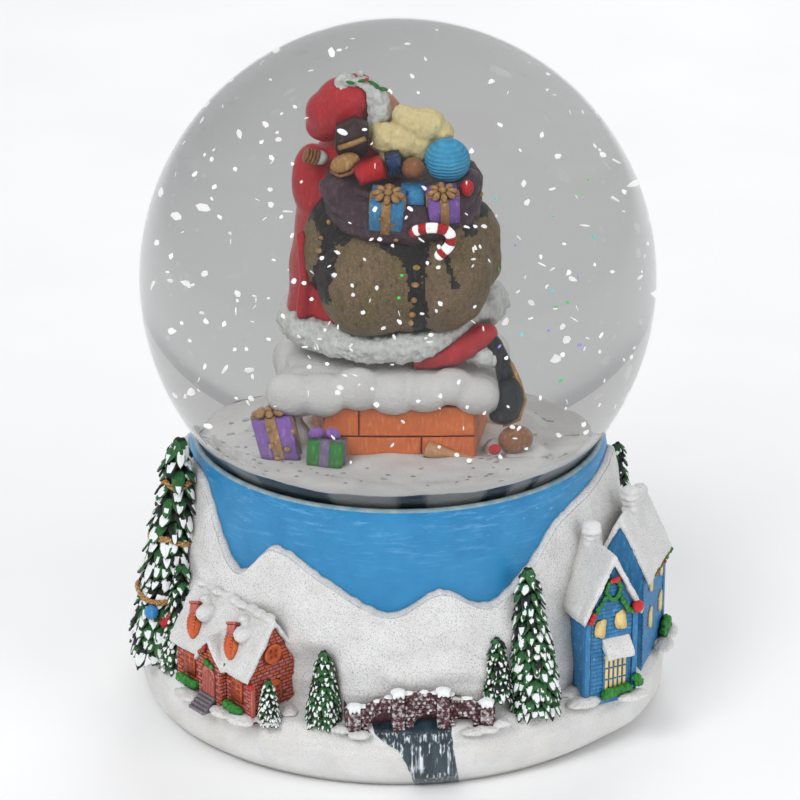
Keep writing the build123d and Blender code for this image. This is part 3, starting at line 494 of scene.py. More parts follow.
snowForms = {"bulges": [(60, 19, 2.0), (-28, 20, 0.5), (150, 25, 1.0), (-150, 22, 1.0), (-78, 17, -1.2)],
             "foldHeights": [(0.42, 0.7), (0.66, 0.5)], "grain": 0.07,
             "notch": (-25, 9.5, 24.5, -2.9)}  # behind the gable: angle, half width, top, depth


def snowLift(angle, z, top):  # how far the sculptor's snow stands off the plain casting
    lift = 0.0
    for centre, width, amount in snowForms["bulges"]:
        away = (angle - centre + 180) % 360 - 180
        lift += amount * bell(away, 0, width) * smoothStep(14, 8, z) * smoothStep(0.2, 4, z)
    a = math.radians(angle)
    spot = (50 * math.sin(a), -50 * math.cos(a), z)
    if z > 14:
        share = (z - 14) / max(1.0, top - 14)
        wave = ripple(spot, 13, 2.0)
        for middle, amount in snowForms["foldHeights"]:
            lift += amount * bell(share + 0.16 * wave, middle, 0.09)
        lift += 0.5 * ripple(spot, 9, 5.0) * smoothStep(1.0, 0.8, share)
    middle, wide, high, depth = snowForms["notch"]
    away = abs(angle - middle)
    lift += (depth * smoothStep(wide + 3, wide - 2, away) * smoothStep(high + 3, high - 3, z)
             * smoothStep(12.2, 14, z))
    ridges = math.sin((z + 2.2 * ripple(spot, 11, 8.0)) * 2.1)
    lift += 0.16 * ridges * smoothStep(7, 10, z) * smoothStep(17, 14, z)
    lift += 0.30 * ripple(spot, 6, 3.0) * smoothStep(0.5, 3, z)
    lift += snowForms["grain"] * ripple(spot, 0.7, 1.0) * smoothStep(0.5, 2, z)
    return lift


def snowPoint(angle, share, extra=0.0):  # share 0 to 1 along foot and shelf, 1 to 2 up the bank
    top = snowTop(angle)
    if share <= 1:
        r, z = footPoint(share)
    else:
        z = bankFoot + (top - bankFoot) * (share - 1)
        r = bankRadius(z)
    r += snowLift(angle, z, top) + extra
    a = math.radians(angle)
    return Vector((r * math.sin(a), -r * math.cos(a), z))


snowEdge = {"tuck": 0.08, "round": 0.7}
sole, feltIn, feltOut, feltTop = 0.2, 41.7, 48.3, 1.0  # the foot's underside and its felt groove


def makeSnowCasting():
    columns, footRows, bankRows = 620, 52, 62
    shares = [i / footRows for i in range(footRows)] + [1 + i / bankRows for i in range(bankRows)]
    heap = Heap()
    verts = []
    for c in range(columns):
        angle = -180 + 360 * c / columns
        a = math.radians(angle)
        top = snowTop(angle) + 0.35 * ripple((40 * math.sin(a), 40 * math.cos(a), 0), 1.3, 4.0)
        column = [snowPoint(angle, s) for s in shares]
        outer = math.hypot(column[-1].x, column[-1].y)
        inner = collarSide(top) - snowEdge["tuck"]
        inside = []
        for k in range(6):  # the rounded edge on the collar
            f = math.pi / 2 * (k + 0.5) / 5.5
            height = top - snowEdge["round"] + snowEdge["round"] * math.sin(f)
            inside.append((inner + (outer - inner) * math.cos(f), height))
        for k in range(1, 6):  # down the collar to its foot
            height = collarFoot + (top - collarFoot) * (1 - k / 5)
            inside.append((collarSide(height) - snowEdge["tuck"], height))
        inside += [(base["recess"], collarFoot), (base["recess"], 0.5), (base["recess"] + 0.3, sole)]
        inside += [(feltIn, sole), (feltIn, feltTop), (feltOut, feltTop), (feltOut, sole)]
        column += [Vector((r * math.sin(a), -r * math.cos(a), z)) for r, z in inside]
        verts += column
    rows = len(shares) + len(inside)
    faces = gridFaces(columns, rows, True)
    faces += [(c * rows + rows - 1, ((c + 1) % columns) * rows + rows - 1, ((c + 1) % columns) * rows,
               c * rows)
              for c in range(columns)]
    heap.add(verts, faces)
    build("snow_casting", heap, [bankSnow], ["snow_skirt"])


def makeCollar():
    steps, rimRound = 26, 0.9
    outline = []
    for i in range(steps + 1):
        height = collarFoot + (collarTop - rimRound - collarFoot) * i / steps
        outline.append((collarSide(height), height))
    rim = base["collarRim"]
    for k in range(1, 7):
        f = math.pi / 2 * k / 6
        height = collarTop - rimRound + rimRound * math.sin(f)
        outline.append((rim - rimRound + rimRound * math.cos(f), height))
    seat = globeRadius + base["seatGap"]
    high = math.acos((globeMiddle - collarTop) / seat)
    low = math.asin(base["neck"] / seat)
    for k in range(9):
        f = high + (low - high) * k / 8
        outline.append((seat * math.sin(f), globeMiddle - seat * math.cos(f)))
    ceiling = globeBox[0].z - 1.8
    outline += [(base["neck"], ceiling), (base["cavity"] - 3, ceiling), (base["cavity"], ceiling - 3),
                (base["cavity"], collarFoot)]
    heap = Heap()
    addLathe(heap, outline, 220)
    build("collar_casting", heap, [collarBlue], ["blue_collar"])


# ---- slate stream down the front ----
brook = {"left": [(14.3, -6.2), (11.6, -4.6), (9.2, -0.6), (6.2, 1.2), (3.2, 2.2), (0.2, 2.9)],
         "right": [(14.3, 10.4), (9.0, 10.7), (5.0, 11.3), (0.2, 11.9)], "proud": 0.28, "groove": 0.22}


def edgeAt(rows, z):
    for (z0, x0), (z1, x1) in zip(rows, rows[1:]):
        if z >= z1:
            t = smoothStep(z0, z1, z) if z0 < z1 else 1 - (z - z1) / (z0 - z1)
            return x0 + (x1 - x0) * min(1.0, max(0.0, t))
    return rows[-1][1]


def makeStream():
    rows, columns = 90, 110
    heap = Heap()
    front, back = [], []
    for i in range(columns):
        u = i / (columns - 1)
        for j in range(rows):
            share = 0.93 * j / (rows - 1)
            r, z = footPoint(share)
            x0, x1 = edgeAt(brook["left"], z), edgeAt(brook["right"], z)
            x = x0 + (x1 - x0) * u + 0.25 * ripple((0, 0, z), 1.5, 7 * u) * (u < 0.02 or u > 0.98)
            angle = math.degrees(math.asin(x / r))
            run = ripple((x - 0.16 * z, z * 0.10, 0), 0.85, 6.0)
            run += 0.5 * ripple((x - 0.16 * z, z * 0.16, 0), 0.4, 9.0)
            edge = min(1.0, min(u, 1 - u) * 14)
            lift = (brook["proud"] + brook["groove"] * run) * edge - 0.25 * (1 - edge)
            front.append(snowPoint(angle, share, lift))
            back.append(snowPoint(angle, share, -1.2))
    n = len(front)
    faces = gridFaces(columns, rows)
    faces += [tuple(n + k for k in reversed(f)) for f in faces]
    loop = list(range(rows)) + [i * rows + rows - 1 for i in range(1, columns)]
    loop += [(columns - 1) * rows + j for j in range(rows - 2, -1, -1)]
    loop += [i * rows for i in range(columns - 2, 0, -1)]
    faces += [(a, b, n + b, n + a) for a, b in zip(loop, loop[1:] + loop[:1])]
    heap.add(front + back, faces)
    build("stream_fall", heap, [slateWater], ["stream"])


# ---- cobbled bridge ----
bridgePlan = {"angle": 4.8, "radius": 48.3, "length": 28.0, "crown": 7.0, "end": 3.4, "stone": 1.02,
              "arches": [(-6.4, 3.5), (1.4, 2.8), (8.0, 2.0)], "posts": (-12.4, -4.2, 4.2, 12.4),
              "postWidth": 2.3, "front": -2.1, "rail": 3.1}


def deckHeight(x, crown, end):
    half = bridgePlan["length"] / 2
    return end + (crown - end) * max(0.0, math.cos(x / half * math.pi / 2)) ** 1.15


def addColumns(heap, low, high, y0, y1, place, tone=0, step=0.28):  # a wall between two curves of x
    half = bridgePlan["length"] / 2
    count = int(2 * half / step)
    verts = []
    for i in range(count + 1):
        x = -half + 2 * half * i / count
        verts += [(x, y0, low(x)), (x, y0, high(x)), (x, y1, high(x)), (x, y1, low(x))]
    faces = [(0, 1, 2, 3), tuple(4 * count + k for k in (3, 2, 1, 0))]
    for i in range(count):
        a, b = 4 * i, 4 * i + 4
        faces += [(a + k, b + k, b + (k + 1) % 4, a + (k + 1) % 4) for k in range(4)]
    heap.add(verts, faces, tone, place)


def addStone(heap, x, y, z, size, place, tone=0):  # a low rounded cobble on a -Y face
    wide, tall = size * rng.uniform(0.42, 0.56), size * rng.uniform(0.36, 0.5)
    spin = rng.uniform(0, 6.3)
    verts, sides = [], 7
    for share, out in ((1.0, -0.25), (0.86, 0.16), (0.45, 0.30)):
        for k in range(sides):
            a = 2 * math.pi * k / sides + spin
            verts.append((x + wide * share * math.cos(a), y - size * out, z + tall * share * math.sin(a)))
    verts.append((x, y - size * 0.33, z))
    faces = [tuple(range(sides))]
    for ring in range(2):
        for k in range(sides):
            n = (k + 1) % sides
            faces.append((ring * sides + n, ring * sides + k, ring * sides + sides + k,
                          ring * sides + sides + n))
    faces += [(2 * sides + (k + 1) % sides, 2 * sides + k, 3 * sides) for k in range(sides)]
    heap.add(verts, faces, tone, place)


def archFoot(x):
    for centre, radius in bridgePlan["arches"]:
        if abs(x - centre) < radius:
            return -0.4 + math.sqrt(radius ** 2 - (x - centre) ** 2)
    return -1.4


def makeBridge():
    place = around(bridgePlan["radius"], bridgePlan["angle"], shelf)
    front, half = bridgePlan["front"], bridgePlan["length"] / 2
    heap = Heap()

    def wallTop(x):
        return deckHeight(x, bridgePlan["crown"], bridgePlan["end"]) - 0.2

    def railTop(x):
        return deckHeight(x, bridgePlan["crown"] + 1.5, bridgePlan["end"] + 1.1)

    addColumns(heap, archFoot, wallTop, front, front + 1.2, place)
    addColumns(heap, lambda x: -1.4, lambda x: wallTop(x) - 1.4, front + 1.6, bridgePlan["rail"], place, 1)
    addColumns(heap, lambda x: -1.4, railTop, bridgePlan["rail"] - 0.5, bridgePlan["rail"] + 0.9, place, 1)
    size = bridgePlan["stone"]
    for row in range(11):
        z = -0.9 + row * size * 0.80
        count = int(2 * half / size)
        for i in range(count + 1):
            x = -half + (i + 0.5 * (row % 2)) * size + rng.uniform(-0.12, 0.12)
            onPost = any(abs(x - p) < bridgePlan["postWidth"] / 2 for p in bridgePlan["posts"])
            zz = z + rng.uniform(-0.1, 0.1)
            if abs(x) < half - 0.3 and archFoot(x) + 0.35 < zz < wallTop(x) - 0.3 and not onPost:
                addStone(heap, x, front, zz, size, place)
    for centre, radius in bridgePlan["arches"]:  # voussoirs round each arch
        for k in range(int(radius * 4.2)):
            a = math.pi * (k + 0.5) / int(radius * 4.2)
            addStone(heap, centre + (radius + 0.35) * math.cos(a), front - 0.1,
                     -0.4 + (radius + 0.35) * math.sin(a), 0.8, place)
    caps = Heap()
    for x in bridgePlan["posts"]:
        w, top = bridgePlan["postWidth"] / 2, wallTop(x) + 0.7
        addBox(heap, x - w, x + w, front - 0.75, front + 0.9, -1.4, top, place, 0, 0.2)
        for row in range(int((top + 1.2) / 0.72)):
            for i in range(3):
                shift = 0.35 * (row % 2)
                addStone(heap, x - w + 0.42 + i * 0.72 + shift * 0.5, front - 0.72, -0.9 + row * 0.72, 0.72,
                         place)
        addBlob(caps, (w + 0.35, 1.3, 0.62), place @ at(x, front - 0.05, top + 0.15))
        for k in range(3):
            addBlob(caps, (0.35, 0.35, 0.7), place @ at(x - 0.8 + 0.8 * k, front - 0.95,
                                                        top - 0.3 * rng.random()))
    for k in range(9):  # dry-brushed snow on the parapet between the posts
        x = -half + 3.4 + k * (2 * half - 6.4) / 8 + rng.uniform(-0.5, 0.5)
        addBlob(caps, (rng.uniform(0.7, 1.5), 0.75, 0.3), place @ at(x, front + 0.5, wallTop(x) + 0.02))
    for k in range(6):
        x = -half + 2.6 + k * 2.0
        addBlob(caps, (0.8, 0.5, 0.28), place @ at(x, bridgePlan["rail"] - 0.2, railTop(x) - 0.35))
    for k in range(46):  # cap stones of the back rail
        x = -half + 0.4 + k * (2 * half - 0.8) / 45
        addBlob(heap, (0.36, 0.9, 0.34), place @ at(x, bridgePlan["rail"] + 0.15, railTop(x) + 0.02), 1, 8, 6)
    build("bridge_masonry", heap, [bridgeStone, bridgeRail], ["bridge"])
    sculpt("bridge_snow", caps, [dabSnow], (), 0.16, 2, [(0.6, 0.12)])


makeSnowCasting()
makeCollar()
makeStream()
makeBridge()
print("base, stream and bridge built")


# ---- brick cottage ----
cottage = {"radius": 46.0, "angle": -41.9, "turn": -8.4, "length": 23.0, "width": 11.0, "eaves": 9.0,
           "ridge": 17.4, "porchX": 0.8, "porchWidth": 6.6, "porchDepth": 1.6, "porchEaves": 7.6,
           "porchRidge": 12.2, "dormers": (-6.6, 5.0), "brick": (1.35, 0.58), "joint": 0.15, "proud": 0.16}


def gableSpan(width, eaves, ridge, z):  # the wall's half width at a height
    half = width / 2
    return half if z <= eaves else half * max(0.0, (ridge - z) / (ridge - eaves))


def addBricks(heap, place, spanAt, low, high, holes=(), tones=(0, 1)):
    long, tall = cottage["brick"]
    joint, row = cottage["joint"], 0
    z = low
    while z + tall < high:
        x0, x1 = spanAt(z + tall)
        x = x0 - (long * 0.5 if row % 2 else 0.0) + rng.uniform(-0.1, 0.1)
        while x < x1:
            a, b = max(x, x0), min(x + long, x1)
            inHole = any(h[0] - 0.2 < (a + b) / 2 < h[1] + 0.2 and h[2] - 0.1 < z + tall / 2 < h[3]
                         for h in holes)
            if b - a > 0.45 and not inHole:
                push = rng.uniform(-0.05, 0.05)
                addBox(heap, a, b, -cottage["proud"] + push, 0.25, z, z + tall, place, rng.choice(tones),
                       0.12)
            x += long + joint
        z += tall + joint
        row += 1


def addArch(heap, place, width, height, y0, y1, tone=0, steps=12):  # an arched plate standing on z = 0
    half = width / 2
    outline = [(-half, 0), (half, 0)]
    outline += [(half * math.cos(math.pi * k / steps),
                 height - half * 0.7 + half * 0.7 * math.sin(math.pi * k / steps))
                for k in range(steps + 1)]
    addPrism(heap, outline, y0, y1, place, tone)


def addPanes(heap, place, width, height, rows, columns, tone):  # small sunk panes on a window plate
    for i in range(columns):
        for j in range(rows):
            x = (-width / 2 + width * (i + 0.5) / columns)
            z = height * (j + 0.5) / rows
            addBox(heap, x - width * 0.34 / columns, x + width * 0.34 / columns, -0.06, 0.1,
                   z - height * 0.32 / rows, z + height * 0.32 / rows, place, tone, 0.05)


def garland(heap, start, end, place, count, size, tones, sag=0.0):
    for k in range(count):
        t = (k + 0.5) / count
        p = [a + (b - a) * t + rng.uniform(-0.14, 0.14) for a, b in zip(start, end)]
        p[2] -= sag * 4 * t * (1 - t)
        r = size * rng.uniform(0.75, 1.2)
        addBlob(heap, (r, r * 0.8, r), place @ at(*p, 0, 0, rng.uniform(0, 90)), tones[k % len(tones)], 8, 6)


def makeCottage():
    spot = around(cottage["radius"], cottage["angle"], shelf, cottage["turn"])
    length, width, eaves, ridge = (cottage[k] for k in ("length", "width", "eaves", "ridge"))
    px, pw, pd = cottage["porchX"], cottage["porchWidth"], cottage["porchDepth"]
    gable = spot @ at(length / 2, 0, 0, 0, 0, 90)
    front = spot @ at(0, -width / 2, 0)
    porchFront = spot @ at(px, -width / 2 - pd, 0)
    walls = Heap()
    shape = [(-width / 2, -2), (width / 2, -2), (width / 2, eaves), (0, ridge), (-width / 2, eaves)]
    addPrism(walls, shape, 0.02, length, gable, 0)
    half = pw / 2
    porchShape = [(-half, -2), (half, -2), (half, cottage["porchEaves"]), (0, cottage["porchRidge"]),
                  (-half, cottage["porchEaves"])]
    addPrism(walls, porchShape, 0.02, width / 2 + pd, porchFront, 0)
    bricks = (1, 1, 1, 2)
    window = {"gable": (-2.9, 1.9, 1.4, 6.3), "round": (-2.3, 1.7, 9.6, 13.5), "left": (-9.2, -5.4, 1.6, 7.2),
              "right": (5.6, 9.2, 1.6, 7.2), "door": (-1.8, 1.8, 0.4, 7.0)}
    addBricks(walls, gable, lambda z: (-gableSpan(width, eaves, ridge, z) + 0.1,
                                       gableSpan(width, eaves, ridge, z) - 0.1),
              -1.2, ridge, [window["gable"], window["round"]], bricks)
    addBricks(walls, spot @ at(-length / 2, 0, 0, 0, 0, -90),
              lambda z: (-gableSpan(width, eaves, ridge, z) + 0.1, gableSpan(width, eaves, ridge, z) - 0.1),
              -1.2, ridge, (), bricks)
    for x0, x1 in ((-length / 2, px - half), (px + half, length / 2)):
        addBricks(walls, front, lambda z, x0=x0, x1=x1: (x0 + 0.05, x1 - 0.05), -1.2, eaves,
                  [window["left"], window["right"]], bricks)
    addBricks(walls, porchFront,
              lambda z: (-gableSpan(pw, cottage["porchEaves"], cottage["porchRidge"], z) + 0.05,
                         gableSpan(pw, cottage["porchEaves"], cottage["porchRidge"], z) - 0.05),
              -1.2, cottage["porchRidge"], [window["door"]], bricks)
    for side, turn in ((-half, -90), (half, 90)):
        addBricks(walls, spot @ at(px + side, -width / 2 - pd / 2, 0, 0, 0, turn),
                  lambda z: (-pd / 2 + 0.05, pd / 2 - 0.05), -1.2, cottage["porchEaves"], (), bricks)
    for x in (-width / 2 + 0.5, width / 2 - 0.5):  # corner piers beside the gable window
        addBox(walls, x - 0.5, x + 0.5, -0.3, 0.2, -1.2, 6.4, gable, 1, 0.15)
    build("cottage_brickwork", walls, [brickMortar, brickRed, windowOrange],
          ["cottage_walls"], True)

    panes = Heap()
    addArch(panes, gable @ at(-0.5, 0, 1.5), 4.6, 4.7, -0.30, 0.2)
    addPanes(panes, gable @ at(-0.5, -0.32, 2.0), 3.9, 3.0, 3, 3, 1)
    addLathe(panes, [(0, 0.45), (1.5, 0.45), (1.75, 0.62), (2.0, 0.45), (2.0, -0.2), (0, -0.2)], 28, 0,
             gable @ at(-0.3, 0, 11.6, 90))
    for dx in (-0.55, 0.55):
        for dz in (-0.55, 0.55):
            addBlob(panes, (0.34, 0.2, 0.34), gable @ at(-0.3 + dx, -0.44, 11.6 + dz), 1, 10, 6)
    for x in (-7.3, 7.4):
        addArch(panes, front @ at(x, 0, 1.7), 3.4, 5.2, -0.30, 0.2)
        addPanes(panes, front @ at(x, -0.32, 2.3), 2.8, 3.4, 3, 2, 1)
    build("cottage_glazing", panes, [windowOrange, paneDark], ["cottage_windows"])
    door = Heap()
    addArch(door, porchFront @ at(0, 0, 0.3), 3.6, 6.6, -0.22, 0.2, 0)
    for k in range(7):  # door boards
        x = -1.5 + 0.5 * k
        top = 6.2 - 0.28 * abs(k - 3) ** 1.5
        addBox(door, x - 0.19, x + 0.19, -0.42, 0.1, 0.4, top, porchFront, 0, 0.08)
    build("cottage_door", door, [brickRed], (), True)

    roof = Heap()
    over, thick = 1.3, 1.5
    for slope in (-1, 1):
        drop = (ridge - eaves) / (width / 2) * over
        foot = slope * (width / 2 + over)
        outline = [(0, ridge - 0.1), (foot, eaves - drop), (foot * 1.03, eaves - drop + thick),
                   (0, ridge + thick)]
        addPrism(roof, outline, -0.9, length + 0.6, gable)
    for slope in (-1, 1):
        drop = (cottage["porchRidge"] - cottage["porchEaves"]) / half * 0.7
        foot = slope * (half + 0.7)
        outline = [(0, cottage["porchRidge"] - 0.1), (foot, cottage["porchEaves"] - drop),
                   (foot, cottage["porchEaves"] - drop + 1.3), (0, cottage["porchRidge"] + 1.2)]
        addPrism(roof, outline, -0.6, width / 2 + pd - 0.5, porchFront)
    for x in cottage["dormers"]:  # snow hoods behind the dormers
        addBlob(roof, (1.9, 3.2, 1.9), spot @ at(x + 1.9, -2.6, eaves + 5.6, -14, 24))
        addBlob(roof, (1.3, 2.2, 1.1), spot @ at(x + 0.4, -1.5, eaves + 7.5, -30))
    for k in range(9):
        x = -length / 2 + 1.6 + k * (length - 3) / 8
        addBlob(roof, (1.7, 1.3, 0.75), spot @ at(x, rng.uniform(-0.6, 0.6), ridge + 1.0))
    sculpt("cottage_snow_roof", roof, [roofSnow], ["cottage_roof"], 0.26, 5,
           [(3.2, 0.30), (1.2, 0.10), (0.55, 0.05)])

    dormers = Heap()
    for x in cottage["dormers"]:
        face = spot @ at(x, -width / 2 + 0.75, eaves + 3.4, -28, 0, 0) @ at(0, 0, 0, 0, -20, 0)
        addBlob(dormers, (1.55, 1.25, 3.0), face, 0, 20, 14)
        addBox(dormers, -1.0, 1.0, -0.95, 0.9, 1.9, 3.7, face @ at(-0.15, 0, 0), 1, 0.15)
        addBox(dormers, -1.25, 1.25, -1.15, 1.1, 3.7, 4.2, face @ at(-0.15, 0, 0), 1, 0.15)
        for j in range(7):
            for i in range(3):
                z = -1.9 + 0.62 * j
                reach = math.sqrt(max(0.0, 1 - (z / 3.0) ** 2))
                xx = (-0.8 + 0.8 * i) * reach
                addBox(dormers, xx - 0.32 * reach, xx + 0.32 * reach, -1.27 * reach + 0.02, -0.2, z, z + 0.5,
                       face, 0 if j < 5 else 1, 0.08)
    build("cottage_dormer_faces", dormers, [windowOrange, brickRed], ["cottage_dormers"],
          True)

    trims = Heap()
    garland(trims, (px - 2.4, -width / 2 - pd - 0.7, 9.0), (px - 0.2, -width / 2 - pd - 0.7, 11.2), spot, 7,
            0.42, (1, 1, 1, 0))
    garland(trims, (px - 0.4, -width / 2 - pd - 0.6, 8.0), (px + 1.6, -width / 2 - pd - 0.6, 7.3), spot, 7,
            0.5, (0,))
    garland(trims, (px + 3.9, -width / 2 - 0.7, 8.5), (length / 2 - 1.0, -width / 2 - 1.0, 6.9), spot, 15,
            0.42, (0, 0, 1, 0, 1))
    garland(trims, (-length / 2 + 0.5, -width / 2 - 0.9, 7.4), (px - half - 0.4, -width / 2 - 0.9, 7.2),
            spot, 12, 0.34, (0, 0, 0, 1))
    for dx, dz in ((0, 0), (0.55, 0.15), (-0.4, 0.2)):
        addBlob(trims, (0.6, 0.5, 0.5), spot @ at(length / 2 + 0.4 + dx, -width / 2 - 0.5, 6.4 + dz), 1, 12,
                8)
    build("cottage_garlands", trims, [leafGreen, berryRed])

    steps = Heap()
    y = -width / 2 - pd
    for k in range(5):
        addBox(steps, px - 2.3, px + 2.1, y - 0.9 - 0.62 * k, y, -1.6, 1.1 - 0.52 * k, spot,
               0, 0.1)
    build("cottage_stone_steps", steps, [stepGrey], ["cottage_steps"], True)


# ---- blue house ----
blueHouse = {"front": (47.6, 50.7, -23.9), "frontSize": (15.0, 10.2, 17.6, 27.2), "wing": (47.4, 71.6, 0.0),
             "wingSize": (15.5, 9.6, 18.6, 28.4), "board": 0.86, "proud": 0.24}


def addBoards(heap, place, spanAt, low, high, holes=()):  # overlapping clapboards on a -Y face
    step, proud = blueHouse["board"], blueHouse["proud"]
    z = low
    while z + step * 0.6 < high:
        x0, x1 = spanAt(z + step / 2)
        cuts = sorted((h[0], h[1]) for h in holes if h[2] < z + step / 2 < h[3])
        spans, x = [], x0
        for a, b in cuts:
            spans.append((x, a))
            x = b
        spans.append((x, x1))
        for a, b in spans:
            if b - a > 0.3:
                wave = rng.uniform(-0.05, 0.05)
                addPrism(heap, [(0.2, z), (-proud + wave, z), (-0.02, z + step * 0.86),
                                (0.2, z + step * 0.86)],
                         a, b, place @ Matrix(((0, 1, 0, 0), (1, 0, 0, 0), (0, 0, 1, 0), (0, 0, 0, 1))))
        z += step


def looseWindow(heap, place, width, height, tone=0):  # a hand-painted pane with a wavering edge
    outline = []
    for k in range(22):
        a = 2 * math.pi * k / 22
        wobble = 1 + 0.10 * math.sin(3 * a + height) + rng.uniform(-0.05, 0.05)
        boxed = 1 / max(abs(math.cos(a)), abs(math.sin(a))) ** 0.72
        outline.append((width / 2 * math.cos(a) * wobble * boxed * 0.86,
                        height / 2 * math.sin(a) * wobble * boxed * 0.86))
    addPrism(heap, outline, -0.3, 0.1, place, tone)


def makeBlueHouse():
    radius, angle, turn = blueHouse["front"]
    front = around(radius, angle, shelf, turn)
    radius, angle, turn = blueHouse["wing"]
    wing = around(radius, angle, shelf, turn)
    length, width, eaves, ridge = blueHouse["frontSize"]
    wLength, wWidth, wEaves, wRidge = blueHouse["wingSize"]
    face = front @ at(0, -length / 2, 0)
    wingFace = wing @ at(0, -wWidth / 2, 0)
    half = width / 2
    body = Heap()
    addPrism(body, [(-half, -2), (half, -2), (half, eaves), (0, ridge), (-half, eaves)], 0.02, length, face)
    shape = [(-wWidth / 2, -2), (wWidth / 2, -2), (wWidth / 2, wEaves), (0, wRidge), (-wWidth / 2, wEaves)]
    addPrism(body, shape, 0.02, wLength, wing @ at(wLength / 2, 0, 0, 0, 0, 90))
    holes = [(-1.4, 3.5, 0.4, 9.4)]
    addBoards(body, face, lambda z: (-gableSpan(width, eaves, ridge, z) + 0.7,
                                     gableSpan(width, eaves, ridge, z) - 0.7),
              -1.0, ridge - 1.6, holes)
    for side, spin in ((-half, -90), (half, 90)):
        addBoards(body, front @ at(side, 0, 0, 0, 0, spin), lambda z: (-length / 2 + 0.8, length / 2), -1.0,
                  eaves)
    addBoards(body, wingFace, lambda z: (-wLength / 2, wLength / 2 - 0.8), -1.0, wEaves)
    addBoards(body, wing @ at(wLength / 2, 0, 0, 0, 0, 90),
              lambda z: (-gableSpan(wWidth, wEaves, wRidge, z) + 0.6,
                         gableSpan(wWidth, wEaves, wRidge, z) - 0.6),
              -1.0, wRidge - 1)
    for x in (-half, half):
        addBox(body, x - 0.55, x + 0.55, -0.42, 0.7, -1.6, eaves + 0.3, face, 0, 0.12)
    addBox(body, wLength / 2 - 0.9, wLength / 2 + 0.25, -0.4, 0.8, -1.6, wEaves, wingFace, 0, 0.12)
    addBox(body, -1.7, 3.8, -0.42, 0.2, -0.6, 9.2, face, 0, 0.15)
    build("blue_house_boards", body, [houseBlue], ["blue_house"], True)

    glazing = Heap()
    looseWindow(glazing, face @ at(-2.5, -0.2, 14.2, 0, 6), 2.7, 4.3)
    looseWindow(glazing, face @ at(1.9, -0.2, 15.2, 0, -5), 2.8, 4.4)
    for x in (-3.0, 4.6):
        for z, tall in ((7.4, 4.8), (15.2, 5.0)):
            looseWindow(glazing, wingFace @ at(x, -0.2, z), 2.6, tall)
    build("blue_house_lit_windows", glazing, [windowYellow], ["house_windows"])
    door = Heap()
    for i in range(5):
        for j in range(3):
            x, z = -1.05 + 0.97 * i, 1.1 + 2.35 * j
            addBox(door, x - 0.29, x + 0.29, -0.62, 0.0, z, z + 2.0, face, 0, 0.08)
    addBox(door, -1.5, 3.6, -0.60, 0.0, 7.7, 8.3, face, 0, 0.1)
    build("blue_house_lattice_door", door, [windowYellow], ["house_door"], True)

    roof = Heap()
    over, thick = 0.9, 1.7
    for slope in (-1, 1):
        drop = (ridge - eaves) / half * (over + 0.3)
        foot = slope * (half + over + 0.3)
        outline = [(0, ridge), (foot, eaves - drop), (foot * 1.04, eaves - drop + thick),
                   (0, ridge + thick + 0.5)]
        addPrism(roof, outline, -1.1, length + 0.5, face)
        drop = (wRidge - wEaves) / (wWidth / 2) * (over + 0.3)
        foot = slope * (wWidth / 2 + over + 0.3)
        outline = [(0, wRidge), (foot, wEaves - drop), (foot * 1.04, wEaves - drop + thick),
                   (0, wRidge + thick + 0.5)]
        addPrism(roof, outline, -1.0, wLength + 0.6, wing @ at(wLength / 2, 0, 0, 0, 0, 90))
    addBlob(roof, (2.2, 1.7, 1.2), wing @ at(4.0, 0, wRidge + 1.6))
    addBlob(roof, (2.0, 1.6, 1.3), wing @ at(6.2, 0, wRidge + 1.2))
    sculpt("blue_house_snow_roof", roof, [roofSnow], ["blue_house_roof"], 0.27, 4,
           [(3.5, 0.26), (1.2, 0.09), (0.55, 0.05)])
    stacks = Heap()
    for frameAt, x, y, top in ((front, 0.2, 1.0, ridge), (wing, -1.2, 0.0, wRidge)):
        for z, r in ((-1.0, 1.55), (0.6, 1.6), (2.0, 1.5), (3.3, 1.9), (4.4, 1.75)):
            addBlob(stacks, (r, r, 1.0), frameAt @ at(x, y, top + z), 0, 20, 12)
    sculpt("blue_house_chimneys", stacks, [plainSnow], ["house_chimneys"], 0.22, 3,
           [(1.6, 0.22), (0.6, 0.08)])
    hood = Heap()
    addPrism(hood, [(0.4, 10.2), (-2.5, 8.0), (-2.6, 9.3), (0.4, 12.2)], -1.9, 4.0,
             face @ Matrix(((0, 1, 0, 0), (1, 0, 0, 0), (0, 0, 1, 0), (0, 0, 0, 1))))
    sculpt("door_canopy_snow", hood, [roofSnow], ["door_canopy"], 0.2, 4,
           [(1.6, 0.16), (0.5, 0.05)])

    trims = Heap()
    for k in range(26):  # wreath
        a = 2 * math.pi * k / 26
        r = 1.45 + rng.uniform(-0.12, 0.12)
        addBlob(trims, (0.46, 0.4, 0.46), face @ at(r * math.cos(a), -0.6,
                                                    eaves + 4.4 + 1.35 * r * math.sin(a)), 0, 8, 6)
    garland(trims, (-1.4, -0.7, eaves + 3.4), (-4.4, -0.8, eaves - 1.0), face, 14, 0.45, (0,), -0.2)
    garland(trims, (1.3, -0.7, eaves + 3.2), (4.6, -0.8, eaves - 0.8), face, 18, 0.55, (0,), 0.9)
    for x, z, r in ((0.1, eaves + 6.5, 0.62), (0.7, eaves + 6.6, 0.5), (-0.5, eaves + 6.4, 0.45),
                    (-4.6, eaves - 0.6, 0.62), (-4.9, eaves - 1.3, 0.6), (-4.3, eaves + 0.1, 0.5),
                    (5.2, eaves, 1.25)):
        addBlob(trims, (r, r * 0.8, r), face @ at(x, -1.0, z), 1, 16, 10)
    garland(trims, (-4.5, -1.3, wEaves - 1.5), (wLength / 2 + 0.6, -1.4, wEaves - 1.3), wingFace, 26, 0.42,
            (0, 0, 1, 0, 1, 0))
    build("blue_house_wreath_trim", trims, [leafGreen, berryRed], ["house_wreath"])


